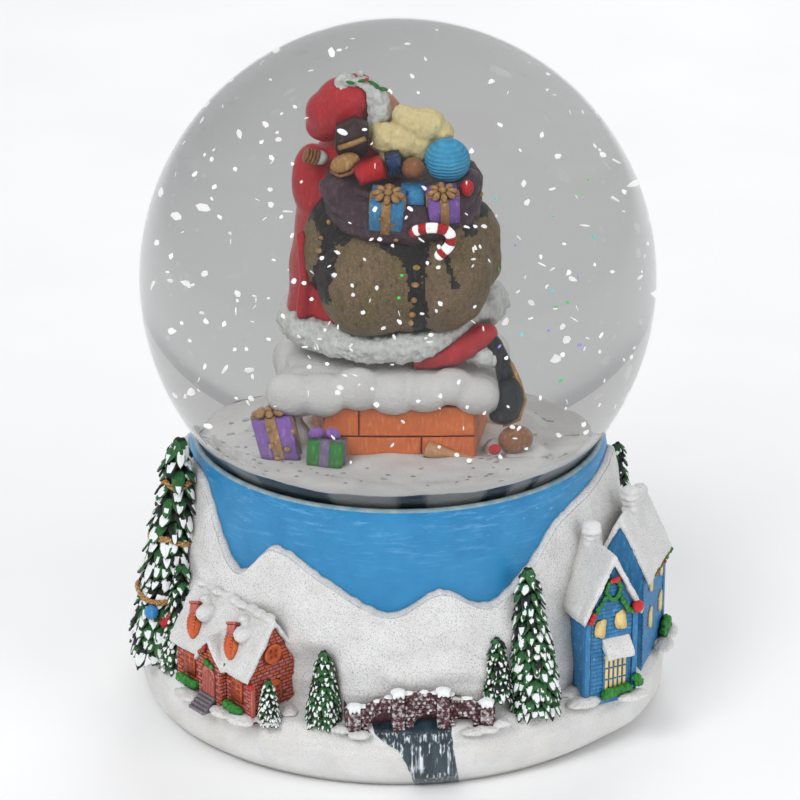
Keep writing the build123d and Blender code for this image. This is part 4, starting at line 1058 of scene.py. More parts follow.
# ---- hedges and snow drifts at the feet ----
def makeFeet():
    spot = around(cottage["radius"], cottage["angle"], shelf, cottage["turn"])
    radius, angle, turn = blueHouse["front"]
    front = around(radius, angle, shelf, turn)
    radius, angle, turn = blueHouse["wing"]
    wing = around(radius, angle, shelf, turn)
    y = -cottage["width"] / 2 - 1.2
    rows = [(spot, x, y, 0.7, 1.1, 0.9, 1.0) for x in (-9.0, -7.9, -6.8, -5.7, -4.6)]
    rows += [(spot, x, y, 0.6, 1.0, 0.9, 0.9) for x in (5.6, 6.6, 7.6, 8.6, 9.4)]
    rows += [(front, x, -8.7, z, 1.0, 1.0, 1.0) for x, z in ((-1.4, 0.4), (-0.4, 0.6), (0.8, 0.7), (2.0, 0.9),
                                                              (3.2, 1.0), (5.2, 2.6), (5.6, 1.6))]
    rows += [(wing, x, -6.1, z, 1.2, 1.0, 1.1)
             for x, z in ((4.4, 1.0), (5.6, 1.3), (6.8, 1.5), (5.4, 2.4), (6.6, 2.6))]
    bushes = Heap()
    for place, x, yy, z, a, b, c in rows:
        addBlob(bushes, (a, b, c), place @ at(x, yy, z))
    sculpt("clipped_hedges", bushes, [leafGreen], ["hedges"], 0.16, 1,
           [(1.1, 0.30), (0.5, 0.22), (0.28, 0.10)])
    drifts = Heap()
    for place, x, yy, z, r in ((spot, -4.5, -8.6, -0.6, 2.0), (spot, 5.0, -7.6, -0.7, 1.8),
                               (spot, 9.5, -6.6, -0.6, 2.2), (spot, 12.8, -3.0, -0.5, 2.0),
                               (spot, 13.0, 1.4, 0.1, 2.0), (front, -5.6, -7.4, -0.6, 2.2),
                               (front, 4.0, -9.3, -0.5, 2.0), (wing, 2.2, -6.6, -0.5, 2.0),
                               (wing, 7.6, -5.8, -0.3, 2.2), (front, -7.0, -3.6, 0.2, 2.0)):
        addBlob(drifts, (r * 1.7, r * 1.1, r * 0.40), place @ at(x, yy, z - 0.1))
    for x, depth, z in ((-14.6, -1.4, -0.4), (-11.5, -3.3, -0.8), (12.5, -3.2, -0.7), (15.0, -1.8, -0.2),
                        (9.6, -3.6, -0.9)):
        addBlob(drifts, (2.2, 1.5, 0.7),
                around(bridgePlan["radius"], bridgePlan["angle"], shelf) @ at(x, depth, z))
    sculpt("snow_drifts", drifts, [bankSnow], (), 0.24, 3,
           [(2.0, 0.25), (0.7, 0.14), (0.4, 0.06)])


makeCottage()
makeBlueHouse()
makeFeet()
print("houses, hedges and drifts built")


# ---- firs ----
# radius, angle, foot height, height, spread, lean, rows, snow share, shade share
firs = {"tall_tree_left": [(49.6, -67.6, 12.4, 45.0, 6.9, 6, 17, 0.26, 0.42)],
        "narrow_tree_left": [(49.4, -60.4, 12.2, 21.5, 3.5, 5, 15, 0.16, 0.35)],
        "small_trees": [(52.6, -27.4, 12.0, 8.8, 2.3, 0, 9, 0.20, 0.35),
                        (49.4, -16.4, 12.4, 14.4, 4.0, 3, 12, 0.04, 0.22),
                        (48.2, 23.0, 16.0, 12.0, 3.3, 5, 10, 0.06, 0.4)],
        "tall_tree_right": [(50.0, 31.2, 12.8, 28.0, 5.6, 7, 15, 0.12, 0.28)],
        "back_trees": [(43.6, 96.0, 32.0, 15.0, 3.0, 0, 9, 0.05, 0.4),
                       (49.6, 150.0, 12.6, 24.0, 5.3, 5, 15, 0.06, 0.25),
                       (50.4, 163.0, 12.4, 15.0, 3.9, 3, 11, 0.06, 0.25),
                       (49.8, -140.0, 12.6, 29.0, 5.5, 6, 17, 0.08, 0.25),
                       (50.6, -124.0, 12.4, 16.0, 3.8, 4, 11, 0.06, 0.25)]}
twig = {"across": 8, "along": 9, "thick": 0.42, "ribs": 5}


def addTwig(heap, place, wide, long, snow, shade):
    # a drooping branch end: ribbed needles, a dab of snow near its tip; it hangs down its own -Z, faces -Y
    na, nl = twig["across"], twig["along"]
    seed = rng.uniform(0, 50)
    dark = rng.random() < shade
    snowLow, snowHigh = 0.56 - 0.6 * snow, 0.80 + 0.24 * rng.random()
    verts, tones = [], []
    for side in (0, 1):
        for i in range(na + 1):
            u = -1 + 2 * i / na
            for j in range(nl + 1):
                v = j / nl
                w = (wide * (math.sin(math.pi * min(1.0, 0.18 + 0.82 * v) ** 1.1) ** 0.6)
                     * (1 - 0.1 * math.sin(v * 9 + seed)))
                dome = twig["thick"] * wide * math.sqrt(max(0.0, 1 - u * u * 0.9))
                rib = 0.09 * wide * math.cos(u * twig["ribs"] * math.pi) * (1 - v * 0.4)
                lump = 0.16 * wide * noise.noise((u * 1.6 + seed, v * 2.4, seed))
                y = (-(dome + rib + lump) * math.sin(math.pi * (0.1 + 0.86 * v)) if side == 0
                     else 0.25 * wide * (1 - u * u))
                fray = 0.10 * long * noise.noise((u * 3.1 + seed, 7.7, seed)) * v
                verts.append((w * u, y - 0.30 * long * v, -long * v - fray))
    rows = nl + 1
    n = (na + 1) * rows
    faces = []
    for i in range(na):
        for j in range(nl):
            a, b = i * rows + j, (i + 1) * rows + j
            faces.append((a, a + 1, b + 1, b))
            u, v = -1 + 2 * (i + 0.5) / na, (j + 0.5) / nl
            blot = 0.35 * noise.noise((u * 1.3 + seed, v * 2.0 + seed, 3.3))
            white = abs(u) + blot < 0.42 + snow and snowLow + blot * 0.6 < v < snowHigh
            # painted shade: a twig's root, its back and edges, and a share of whole twigs take the dark green
            tones.append(2 if white else (1 if dark or v < 0.16 else 0))
            faces.append((n + a, n + b, n + b + 1, n + a + 1))
            tones.append(1)
    for j in range(nl):
        for i, flip in ((0, False), (na, True)):
            a = i * rows + j
            quad = (a, n + a, n + a + 1, a + 1)
            faces.append(quad[::-1] if flip else quad)
            tones.append(1)
    for i in range(na):
        for j, flip in ((0, True), (nl, False)):
            a, b = i * rows + j, (i + 1) * rows + j
            quad = (a, n + a, n + b, b)
            faces.append(quad[::-1] if flip else quad)
            tones.append(1)
    base = len(heap.verts)
    heap.verts += [place @ Vector(v) for v in verts]
    heap.faces += [[base + k for k in f] for f in faces]
    heap.tones += tones


def firRadius(share, spread):
    return spread * ((1 - share) ** 0.78 * (0.80 + 0.20 * min(1.0, share * 7)) + 0.03)


def makeFir(heap, radius, angle, foot, height, spread, lean, rows, snow, shade):
    root = around(radius, angle, foot) @ at(0, 0, 0, -lean)
    core = [(0, -0.5), (spread * 0.42, -0.5)]
    core += [(firRadius(k / 14, spread) * 0.74, height * (0.05 + 0.93 * k / 14)) for k in range(15)]
    core.append((0, height))
    # the core inside the branches is a dark sheet of painted shade
    addLathe(heap, core, 26, 1, root)
    for row in range(rows):
        share = (row + 0.6) / (rows + 0.4)
        r = firRadius(share, spread)
        step = height / rows
        count = max(4, int(2 * math.pi * r / (step * 0.74)))
        for k in range(count):
            a = 360 * (k + 0.5 * (row % 2) + rng.uniform(-0.18, 0.18)) / count
            z = height * share + step * rng.uniform(0.35, 0.6)
            long = step * rng.uniform(1.15, 1.9)
            wide = step * rng.uniform(0.36, 0.60)
            place = root @ Matrix.Rotation(math.radians(a), 4, "Z") @ at(0, -r * 0.72, z, -10 - 12 * share)
            addTwig(heap, place @ at(0, 0, 0, 0, rng.uniform(-14, 14)), wide, long,
                    snow + rng.uniform(-0.32, 0.22), shade)
    for k in range(3):  # the tip
        place = root @ Matrix.Rotation(2.1 * k, 4, "Z") @ at(0, -0.15, height + 0.1, -6)
        addTwig(heap, place, spread * 0.20, height / rows * 1.6, snow, 0.0)


def makeFirs():
    for node, rows in firs.items():
        heap = Heap()
        for row in rows:
            makeFir(heap, *row)
        build(node + "_branches", heap, [firGreen, firPaintedShade, dabSnow], [node])


treeTrim = {"shares": (0.30, 0.56, 0.80), "bead": 0.52}


def makeTreeTrim():
    radius, angle, foot, height, spread, lean = firs["tall_tree_left"][0][:6]
    root = around(radius, angle, foot) @ at(0, 0, 0, -lean)
    beads = Heap()
    for share in treeTrim["shares"]:
        r = firRadius(share, spread) * 1.04 + 0.35
        count = int(2 * math.pi * r / 0.42)
        for strand in range(3):
            for k in range(count):
                a = 2 * math.pi * k / count
                z = (height * share + 0.55 * math.sin(3 * a + share * 9)
                     + 0.32 * math.sin(a * count / 2.2 + strand * 2.1))
                rr = r + 0.22 * math.cos(a * count / 2.2 + strand * 2.1)
                addBlob(beads, (treeTrim["bead"], 0.24, 0.27),
                        root @ at(rr * math.sin(a), -rr * math.cos(a), z, 0, 24, math.degrees(a)), 0, 7, 5)
    build("gold_tree_garlands", beads, [goldPaint], ["tree_garlands"])
    hung = Heap()
    share = treeTrim["shares"][0]
    r = firRadius(share, spread) + 0.9

    def onTree(turn, drop, out=0.0):
        a = math.radians(turn)
        return root @ at((r + out) * math.sin(a), -(r + out) * math.cos(a), height * share - drop, 0, 0, turn)

    addBlob(hung, (1.4, 1.4, 1.45), onTree(44, 2.3, 0.3), 0, 22, 14)
    bow = [(-1.8, -1.2), (-0.3, -0.2), (0.3, 1.5), (1.9, 1.9), (1.5, -0.6), (1.2, -2.6), (0.2, -1.9),
           (-1.0, -2.5)]
    addPrism(hung, bow, -0.45, 0.5, onTree(74, 2.6, 0.2), 1)
    addBlob(hung, (0.55, 0.5, 0.55), onTree(74, 2.6, 0.5), 1, 12, 8)
    share = treeTrim["shares"][1]
    addBlob(hung, (0.8, 0.8, 0.85), root @ at(-5.0, -1.5, height * share - 0.4), 1, 14, 10)
    build("tree_ornaments", hung, [ballBlue, berryRed])


makeFirs()
makeTreeTrim()
print("firs planted")


# ---- globe: shell, water, snow mound and flakes ----
globe = {"shell": 0.3, "waterGap": 0.4, "neck": 33.0, "shine": 1.45, "bend": 1.33, "tint": 0.94,
         "groundTop": 57.7, "flakes": 330, "glitter": 16, "lying": 150}


def glassPaint():
    p = Paint("globe_glass", 0.02, Metallic=1.0)
    nodes = p.tree.nodes
    p.colour((0.95, 0.97, 0.98))
    clear = nodes.new("ShaderNodeBsdfTransparent")
    share = nodes.new("ShaderNodeFresnel")
    share.inputs["IOR"].default_value = globe["shine"]
    both = nodes.new("ShaderNodeMixShader")
    path = nodes.new("ShaderNodeLightPath")
    inward = nodes.new("ShaderNodeNewGeometry")
    hidden = p.times(path.outputs["Is Shadow Ray"], inward.outputs["Backfacing"], "MAXIMUM")
    seen = p.times(p.times(share.outputs[0], 0.3), p.times(1.0, hidden, "SUBTRACT"))
    p.link(seen, both.inputs[0])
    p.link(clear.outputs[0], both.inputs[1])
    p.link(p.shader.outputs[0], both.inputs[2])
    p.link(both.outputs[0], nodes["Material Output"].inputs["Surface"])
    return p.material


def waterPaint():
    p = Paint("water", 0.0, Transmission_Weight=1.0, IOR=globe["bend"], Specular_IOR_Level=0.0)
    nodes = p.tree.nodes
    p.colour((globe["tint"],) * 3)
    clear = nodes.new("ShaderNodeBsdfTransparent")
    clear.inputs[0].default_value = (0.95, 0.95, 0.95, 1)
    path = nodes.new("ShaderNodeLightPath")
    both = nodes.new("ShaderNodeMixShader")
    p.link(path.outputs["Is Shadow Ray"], both.inputs[0])
    p.link(p.shader.outputs[0], both.inputs[1])
    p.link(clear.outputs[0], both.inputs[2])
    p.link(both.outputs[0], nodes["Material Output"].inputs["Surface"])
    return p.material


def addStack(heap, rows, tone=0, segments=36, place=None):  # rows of height, centre x and y, half widths
    verts = []
    for z, cx, cy, rx, ry in rows:
        for i in range(segments):
            a = 2 * math.pi * i / segments
            verts.append((cx + rx * math.cos(a), cy + ry * math.sin(a), z))
    faces = [list(range(segments - 1, -1, -1)), [(len(rows) - 1) * segments + i for i in range(segments)]]
    for j in range(len(rows) - 1):
        for i in range(segments):
            n = (i + 1) % segments
            faces.append((j * segments + i, j * segments + n, (j + 1) * segments + n, (j + 1) * segments + i))
    heap.add(verts, faces, tone, place)


def sphereLine(radius, low, neck, steps=70):  # from the neck up to the pole
    start = math.asin(neck / radius)
    rows = [(neck, low)]
    for i in range(steps + 1):
        a = math.pi - start + (0.0006 - math.pi + start) * i / steps
        rows.append((radius * math.sin(a), globeMiddle + radius * math.cos(a)))
    return rows


def groundHeight(x, y):
    r = math.hypot(x, y)
    heap = 3.6 * bell(r, 0, 24) + 0.9 * ripple((x, y, 0), 11, 3.0) + 0.3 * ripple((x, y, 0), 4, 6.0)
    return globe["groundTop"] - 0.6 + heap - 1.4 * smoothStep(30, 41, r)


def makeGlobe():
    outside = sphereLine(globeRadius, globeBox[0].z, globe["neck"])
    inside = sphereLine(globeRadius - globe["shell"], globeBox[0].z, globe["neck"] - globe["shell"])
    shell = Heap()
    addLathe(shell, outside + inside[::-1], 180)
    build("globe_shell", shell, [glassPaint()], ["glass_globe"])
    water = Heap()
    low = groundBox[0].z - 1.0
    reach = globeRadius - globe["waterGap"]
    neck = math.sqrt(reach ** 2 - (globeMiddle - low - 0.6) ** 2)
    addStack(water, [(z, 0, 0, r, r) for r, z in sphereLine(reach, low, neck)], 0, 180)
    build("globe_water", water, [waterPaint()], ["water_fill"])
    seal = Heap()
    ring = math.sqrt(globeRadius ** 2 - (globeMiddle - collarTop) ** 2)
    line = [(ring - 0.1, collarTop - 2.0), (ring + 1.6, collarTop - 2.0), (ring + 1.0, collarTop + 0.06),
            (ring + 0.6, collarTop + 0.22), (ring + 0.25, collarTop + 0.25)]
    addLathe(seal, line, 150)
    build("seal_bead", seal, [sealPaint()], ["globe_seal"])
    mound = Heap()
    rings, spokes = 60, 150
    verts = []
    for j in range(rings + 1):
        for i in range(spokes):
            a = 2 * math.pi * i / spokes
            r = 42.4 * j / rings
            z = groundHeight(r * math.cos(a), r * math.sin(a))
            r = min(r, math.sqrt((reach - 0.3) ** 2 - (globeMiddle - z) ** 2))
            verts.append((r * math.cos(a), r * math.sin(a), z))
    faces = []
    for j in range(rings):
        for i in range(spokes):
            n = (i + 1) % spokes
            faces.append((j * spokes + i, (j + 1) * spokes + i, (j + 1) * spokes + n, j * spokes + n))
    rim = rings * spokes
    foot = len(verts)
    for i in range(spokes):
        x, y, z = verts[rim + i]
        groundLow = groundBox[0].z + 0.5
        share = math.sqrt((reach - 0.4) ** 2 - (globeMiddle - groundLow) ** 2) / math.hypot(x, y)
        verts.append((x * share, y * share, groundLow))
        n = (i + 1) % spokes
        faces.append((rim + i, foot + i, foot + n, rim + n))
    faces.append([foot + i for i in range(spokes - 1, -1, -1)])
    mound.add(verts, faces)
    build("snow_mound", mound, [moundSnow], ["snow_ground"])


def addFlake(heap, place, size, tone, corners=6):
    ring = []
    for i in range(corners):
        a = 2 * math.pi * (i + rng.uniform(-0.25, 0.25)) / corners
        r = size * rng.uniform(0.65, 1.15)
        ring.append((r * math.cos(a), r * 0.8 * math.sin(a)))
    verts = [(x, y, -0.05) for x, y in ring] + [(x, y, 0.05) for x, y in ring]
    faces = [list(range(corners - 1, -1, -1)), list(range(corners, 2 * corners))]
    faces += [(i, (i + 1) % corners, corners + (i + 1) % corners, corners + i) for i in range(corners)]
    heap.add(verts, faces, tone, place)


def tumble(x, y, z):
    return at(x, y, z, rng.uniform(-60, 60) + 60, rng.uniform(-50, 50), rng.uniform(0, 360))


def insideFigure(x, y, z):  # where a flake would sink into the figure or the toys
    low = abs(x) < 19 and abs(y) < 15 and z < 78
    coat = (x / 19) ** 2 + ((y + 1) / 18) ** 2 < 1 and z < 110
    head = (x + 1) ** 2 + y ** 2 < 17 ** 2 and 100 < z < 121
    return low or coat or head


def makeFlakes():
    heap = Heap()
    reach = globeRadius - 3.5
    placed = 0
    while placed < globe["flakes"]:
        x, y, z = (rng.uniform(-reach, reach) for _ in range(3))
        z += globeMiddle
        tooFar = math.dist((x, y, z), (0, 0, globeMiddle)) > reach
        if tooFar or z < groundHeight(x, y) + 1 or insideFigure(x, y, z):
            continue
        addFlake(heap, tumble(x, y, z), rng.uniform(0.38, 0.70), 0)
        placed += 1
    for _ in range(26):  # flakes close to the front glass, before the sack
        x, z = rng.uniform(-15, 15), rng.uniform(76, 104)
        addFlake(heap, tumble(x, -rng.uniform(20, 36), z), rng.uniform(0.36, 0.66), 0)
    for i in range(globe["glitter"]):
        x, y, z = rng.uniform(14, 34), rng.uniform(-26, 10), rng.uniform(70, 108)
        addFlake(heap, tumble(x, y, z), rng.uniform(0.3, 0.46), 1 + i % 3, 8)
    for x, z in ((0.6, 92.6), (0.1, 88.7)):
        addFlake(heap, at(x, -23, z, 78), 0.34, 1, 8)
    for _ in range(globe["lying"]):
        a, r = rng.uniform(0, 2 * math.pi), rng.uniform(17, 36)
        x, y = r * math.cos(a), r * math.sin(a)
        addFlake(heap, at(x, y, groundHeight(x, y) + 0.12, rng.uniform(-14, 14), rng.uniform(-14, 14),
                          rng.uniform(0, 360)), rng.uniform(0.3, 0.6), 4)
    glitters = [glitterPaint("glitter_green", (0.02, 0.75, 0.10)),
                glitterPaint("glitter_cyan", (0.15, 0.75, 0.75)),
                glitterPaint("glitter_violet", (0.35, 0.25, 0.85))]
    build("floating_flakes", heap, [whiteGlow] + glitters + [flakeGrey], ["snow_flakes"],
          flat=True)


def glitterPaint(name, colour):
    # the glitter's colour, with a painted glow (emission) standing in for its glint
    p = Paint(name, 0.25, Metallic=0.4, Emission_Strength=0.35, Emission_Color=(*colour, 1))
    p.colour(p.mix(p.grain(0.3, 0.4, 0.7), colour, tuple(min(1.0, c * 1.5 + 0.1) for c in colour)))
    return p.material


def sealPaint():
    p = Paint("clear_seal", 0.2, Coat_Weight=0.3)
    p.colour(p.mix(p.grain(2.5, 0.35, 0.7), (0.30, 0.38, 0.40), (0.13, 0.26, 0.34)))
    p.bump(p.grain(1.2, 0.2, 0.8), 0.08)
    return p.material


# white paint with a painted glow (emission): the flakes, cane stripes and train trim shine without a lamp
whiteGlow = handPaint("flake_white", (0.88, 0.89, 0.90), (0.7, 0.7, 0.72), (0.95, 0.95, 0.96), 0.5, 0.5, 0,
                       Emission_Color=(1.0, 1.0, 1.0, 1.0), Emission_Strength=0.45)
flakeGrey = handPaint("flake_grey", (0.42, 0.44, 0.43), (0.3, 0.31, 0.3), (0.5, 0.52, 0.51), 0.5, 0.5, 0)
moundSnow = snowPaint("mound_snow", 0.10)
makeGlobe()
makeFlakes()
print("globe, mound and flakes built")

# ---- figure at the chimney, seen from behind ----
chimneyOrange = handPaint("chimney_orange", (0.70, 0.165, 0.040), (0.30, 0.045, 0.016), (0.80, 0.30, 0.11),
                          0.5, 1.6, 0.3)
chimneyJoint = handPaint("chimney_joint", (0.36, 0.055, 0.016), (0.16, 0.02, 0.008), (0.5, 0.09, 0.03), 0.6)
tanPaint = handPaint("ribbon_tan", (0.55, 0.30, 0.14), (0.25, 0.11, 0.05), (0.68, 0.42, 0.24), 0.5)
santaRed = handPaint("santa_red", (0.50, 0.018, 0.026), (0.16, 0.005, 0.010), (0.62, 0.05, 0.06), 0.28, 2.5,
                     0.8, grit=0.9)
furWhite = handPaint("fur_white", (0.68, 0.70, 0.68), (0.24, 0.26, 0.23), (0.84, 0.86, 0.85), 0.65, 0.8, 0.9)
bootBlack = handPaint("boot_black", (0.011, 0.012, 0.016), (0.004, 0.004, 0.006), (0.05, 0.055, 0.065), 0.3)
skinPaint = handPaint("skin_paint", (0.55, 0.26, 0.17), (0.3, 0.1, 0.06), (0.68, 0.38, 0.27), 0.5)
cuffBrown = handPaint("cuff_brown", (0.070, 0.040, 0.055), (0.018, 0.010, 0.014), (0.15, 0.095, 0.105), 0.4,
                      2.0, 0.8)
presentBlue = handPaint("present_blue", (0.045, 0.28, 0.56), (0.02, 0.09, 0.24), (0.18, 0.48, 0.72), 0.4)
presentPurple = handPaint("present_purple", (0.27, 0.12, 0.50), (0.09, 0.035, 0.16), (0.42, 0.26, 0.64), 0.4)
presentGreen = handPaint("present_green", (0.028, 0.24, 0.035), (0.008, 0.08, 0.012), (0.09, 0.42, 0.09),
                         0.35)
ribbonGrey = handPaint("ribbon_grey", (0.21, 0.16, 0.30), (0.08, 0.05, 0.11), (0.36, 0.30, 0.45), 0.4)
bronzePaint = handPaint("bronze_paint", (0.34, 0.145, 0.060), (0.10, 0.03, 0.012), (0.62, 0.34, 0.17), 0.38,
                        0.8, 0.5, Metallic=0.25)
caneRed = handPaint("cane_red", (0.56, 0.012, 0.016), (0.2, 0.004, 0.006), (0.7, 0.06, 0.06), 0.35)
plushYellow = handPaint("plush_yellow", (0.78, 0.66, 0.34), (0.46, 0.36, 0.15), (0.86, 0.76, 0.48), 0.6,
                        1.5, 0.9)
toyBrown = handPaint("toy_brown", (0.050, 0.028, 0.030), (0.015, 0.008, 0.008), (0.12, 0.075, 0.07), 0.4)


def sackPaint(name, main, second):
    p = Paint(name, 0.5)
    tone = p.mix(p.grain(4.5, 0.4, 0.62, 3), main, second)
    tone = p.mix(p.grain(0.28, 0.50, 0.78, 3), tone, (0.36, 0.27, 0.14))
    tone = p.mix(p.times(p.grain(0.8, 0.53, 0.72, 5, (1.6, 1, 0.6)), 0.7), tone, (0.055, 0.045, 0.025))
    # painted shade: near black in the creases and folds of the sack
    p.colour(p.mix(p.openToLight(1.4, 0.25, 0.85), (0.02, 0.016, 0.012), tone))
    p.bump(p.grain(0.35, 0.2, 0.8, 3), 0.07)
    return p.material


sackOlive = sackPaint("sack_brown", (0.155, 0.115, 0.050), (0.20, 0.135, 0.085))
seamBlack = handPaint("seam_black", (0.014, 0.013, 0.013), (0.005, 0.005, 0.005), (0.07, 0.06, 0.05), 0.45,
                      1.2, 0.4)


def makeChimney():
    x0, x1, y0, y1 = -11.2, 11.6, -12.0, 10.0
    heap = Heap()
    addBox(heap, x0 + 0.3, x1 - 0.3, y0 + 0.45, y1 - 0.3, 55.5, 67.5, tone=1)
    courses = [(58.3, 62.45, (0.645,)), (62.7, 67.2, (0.235,)), (54.6, 58.05, (0.3, 0.8))]
    for z0, z1, joints in courses:
        for side, low, high, place in ((0, x0, x1, at(0, y0, 0)), (1, -y1, -y0, at(x0, 0, 0, 0, 0, -90)),
                                       (2, y0, y1, at(x1, 0, 0, 0, 0, 90)),
                                       (3, -x1, -x0, at(0, y1, 0, 0, 0, 180))):
            cuts = [low] + [low + (high - low) * j for j in joints] + [high]
            for a, b in zip(cuts, cuts[1:]):
                addBox(heap, a + 0.12, b - 0.12, 0, 0.6, z0, z1, place, 0, 0.16)
    addTube(heap, [(4.2, y0 - 0.2, 60.6), (7.0, y0 - 0.5, 59.7), (11.0, y0 - 0.9, 58.6),
                   (13.6, y0 - 0.6, 58.2)],
            lambda s: 1.5 - 0.9 * s, 2, 8)
    build("chimney", heap, [chimneyOrange, chimneyJoint, tanPaint], ["chimney_bricks"],
          flat=True)
    cap = Heap()
    addBox(cap, -14.5, 13.2, -12.6, 10.8, 67.8, 71.6)
    addBlob(cap, (15.4, 12.6, 2.2), at(-0.8, -0.8, 71.2))
    for x, r, z in ((-16.2, 3.4, 69.0), (-11.6, 3.5, 69.0), (-6.0, 3.4, 70.0), (-0.8, 3.3, 69.2),
                    (4.0, 3.1, 69.4), (8.2, 2.9, 70.4), (11.8, 3.0, 68.9)):
        addBlob(cap, (r + 0.6, 2.9, r), at(x, -11.5, z))
    for a in range(8):
        addBlob(cap, (3.3, 3.6, 3.0), at(13.0 - 0.2 * a, -9 + 2.9 * a, 68.4 + 0.5 * math.sin(2.2 * a)))
        addBlob(cap, (3.3, 3.6, 3.2), at(-14.0 + 0.1 * a, -9 + 2.9 * a, 68.2 + 0.5 * math.sin(1.7 * a)))
        addBlob(cap, (3.3, 2.9, 3.0), at(-11 + 3.2 * a, 10.4, 68.4 + 0.5 * math.sin(2.6 * a)))
    # snow running down at the left
    for x, z, r in ((-17.6, 65.4, 2.4), (-16.6, 62.4, 3.0), (-15.6, 60.4, 3.2)):
        addBlob(cap, (r, 3.0, r + 1), at(x, -7.5, z))
    sculpt("chimney_snow_cap", cap, [capSnow], ["chimney_snow"], 0.38, 6,
           [(3.0, 0.18), (0.9, 0.06)])


def makeSanta():
    coat = Heap()
    rows = [(76.4, -1.2, 0.8, 14.2, 10.4), (79, -1.2, 1.0, 14.8, 10.9), (84, -1.4, 1.4, 14.3, 10.8),
            (90, -1.6, 1.6, 13.6, 10.2), (96, -1.8, 1.6, 12.9, 9.2), (100, -2.4, 1.8, 11.6, 8.0),
            (103.4, -3.4, 2.2, 8.6, 6.4), (105.4, -4.0, 2.6, 5.2, 5.0)]
    addStack(coat, rows)
    addBlob(coat, (3.7, 4.3, 7.5), at(-12.0, 0.6, 97.4, 0, -10))
    for x, lean in ((-14.2, 4), (-12.0, -3), (-9.4, -6)):
        addTube(coat, [(x, -5.4, 79), (x + 0.2, -6.4, 86), (x - lean * 0.1, -5.6, 93)], 1.0)
    sculpt("santa_coat", coat, [santaRed], ["red_coat"], 0.4, 8, [(5, 0.35)])
    fur = Heap()
    path = []
    for i in range(49):
        a = 2 * math.pi * i / 48
        x, y = -0.6 + 14.0 * math.cos(a), 0.4 - 11.4 * math.sin(a)
        front = smoothStep(-0.6, 0.3, math.sin(a))
        path.append((x, y, 76.9 + front * (4.6 * smoothStep(2.0, 15.0, x) - 0.4 * bell(x, -2, 7))))
    addTube(fur, path, 2.55, 0, 12)
    addBlob(fur, (2.6, 3.0, 3.0), at(13.0, -4.6, 80.6))
    addBlob(fur, (2.7, 2.8, 2.5), at(-13.8, -4.6, 77.2))
    addBlob(fur, (2.3, 2.3, 2.0), at(13.3, -9.0, 74.6))
    addBlob(fur, (2.6, 2.3, 1.8), at(11.6, -8.4, 74.9))
    sculpt("coat_fur_trim", fur, [furWhite], ["coat_fur"], 0.3, 1, [(1.5, 0.5), (0.55, 0.34)])
    leg = Heap()
    addTube(leg, [(2.6, -8.6, 73.9), (8, -9.8, 75.1), (13.2, -9.0, 78.0)], lambda s: 2.0 + 0.2 * s, 0, 16)
    addBlob(leg, (2.0, 2.2, 1.9), at(13.0, -8.8, 77.6))
    sculpt("trouser_leg", leg, [santaRed], ["trousers"], 0.3, 3, [(1.8, 0.2)])
    boot = Heap()
    addTube(boot, [(13.5, -9.2, 77.3), (14.4, -9.4, 76.2), (15.6, -9.4, 73.6), (16.0, -9.6, 71)],
            lambda s: 1.35 - 0.1 * s, 0, 14)
    addBlob(boot, (2.5, 2.6, 3.4), at(16.4, -9.6, 67.9))
    addBlob(boot, (2.2, 2.4, 1.5), at(15.7, -9.9, 65.4))
    addTube(boot, [(14.9, -9.0, 75.9), (16.9, -9.2, 73.0), (18.0, -9.4, 70.6), (18.9, -9.6, 67.6),
                   (18.0, -9.8, 64.6), (15.6, -10.4, 63.9)], 0.42, 1, 8)
    build("santa_boot", boot, [bootBlack, goldPaint], ["boots"])
    head = Heap()
    addBlob(head, (5.2, 5.2, 5.6), at(-4.2, 4.4, 106.6))
    addBlob(head, (1.1, 1.2, 1.1), at(-4.0, 9.9, 106.2))
    for side in (-1, 1):
        addBlob(head, (0.6, 0.3, 0.7), at(-4.2 + side * 1.9, 9.3, 107.6), 1)
        addTube(head, [(-4.2 + side * 1.2, 9.6, 108.9), (-4.2 + side * 2.9, 9.1, 108.9)], 0.3, 2)
    build("santa_head", head, [skinPaint, bootBlack, furWhite], ["head"])
    beard = Heap()
    addBlob(beard, (4.8, 3.4, 5.2), at(-4.0, 8.2, 102.0))
    addBlob(beard, (2.4, 1.4, 1.1), at(-5.9, 10.4, 105.0, 0, 14))
    addBlob(beard, (2.4, 1.4, 1.1), at(-2.3, 10.4, 105.0, 0, -14))
    sculpt("santa_beard", beard, [furWhite], ["beard"], 0.3, 1, [(1.6, 0.5), (0.7, 0.3)])


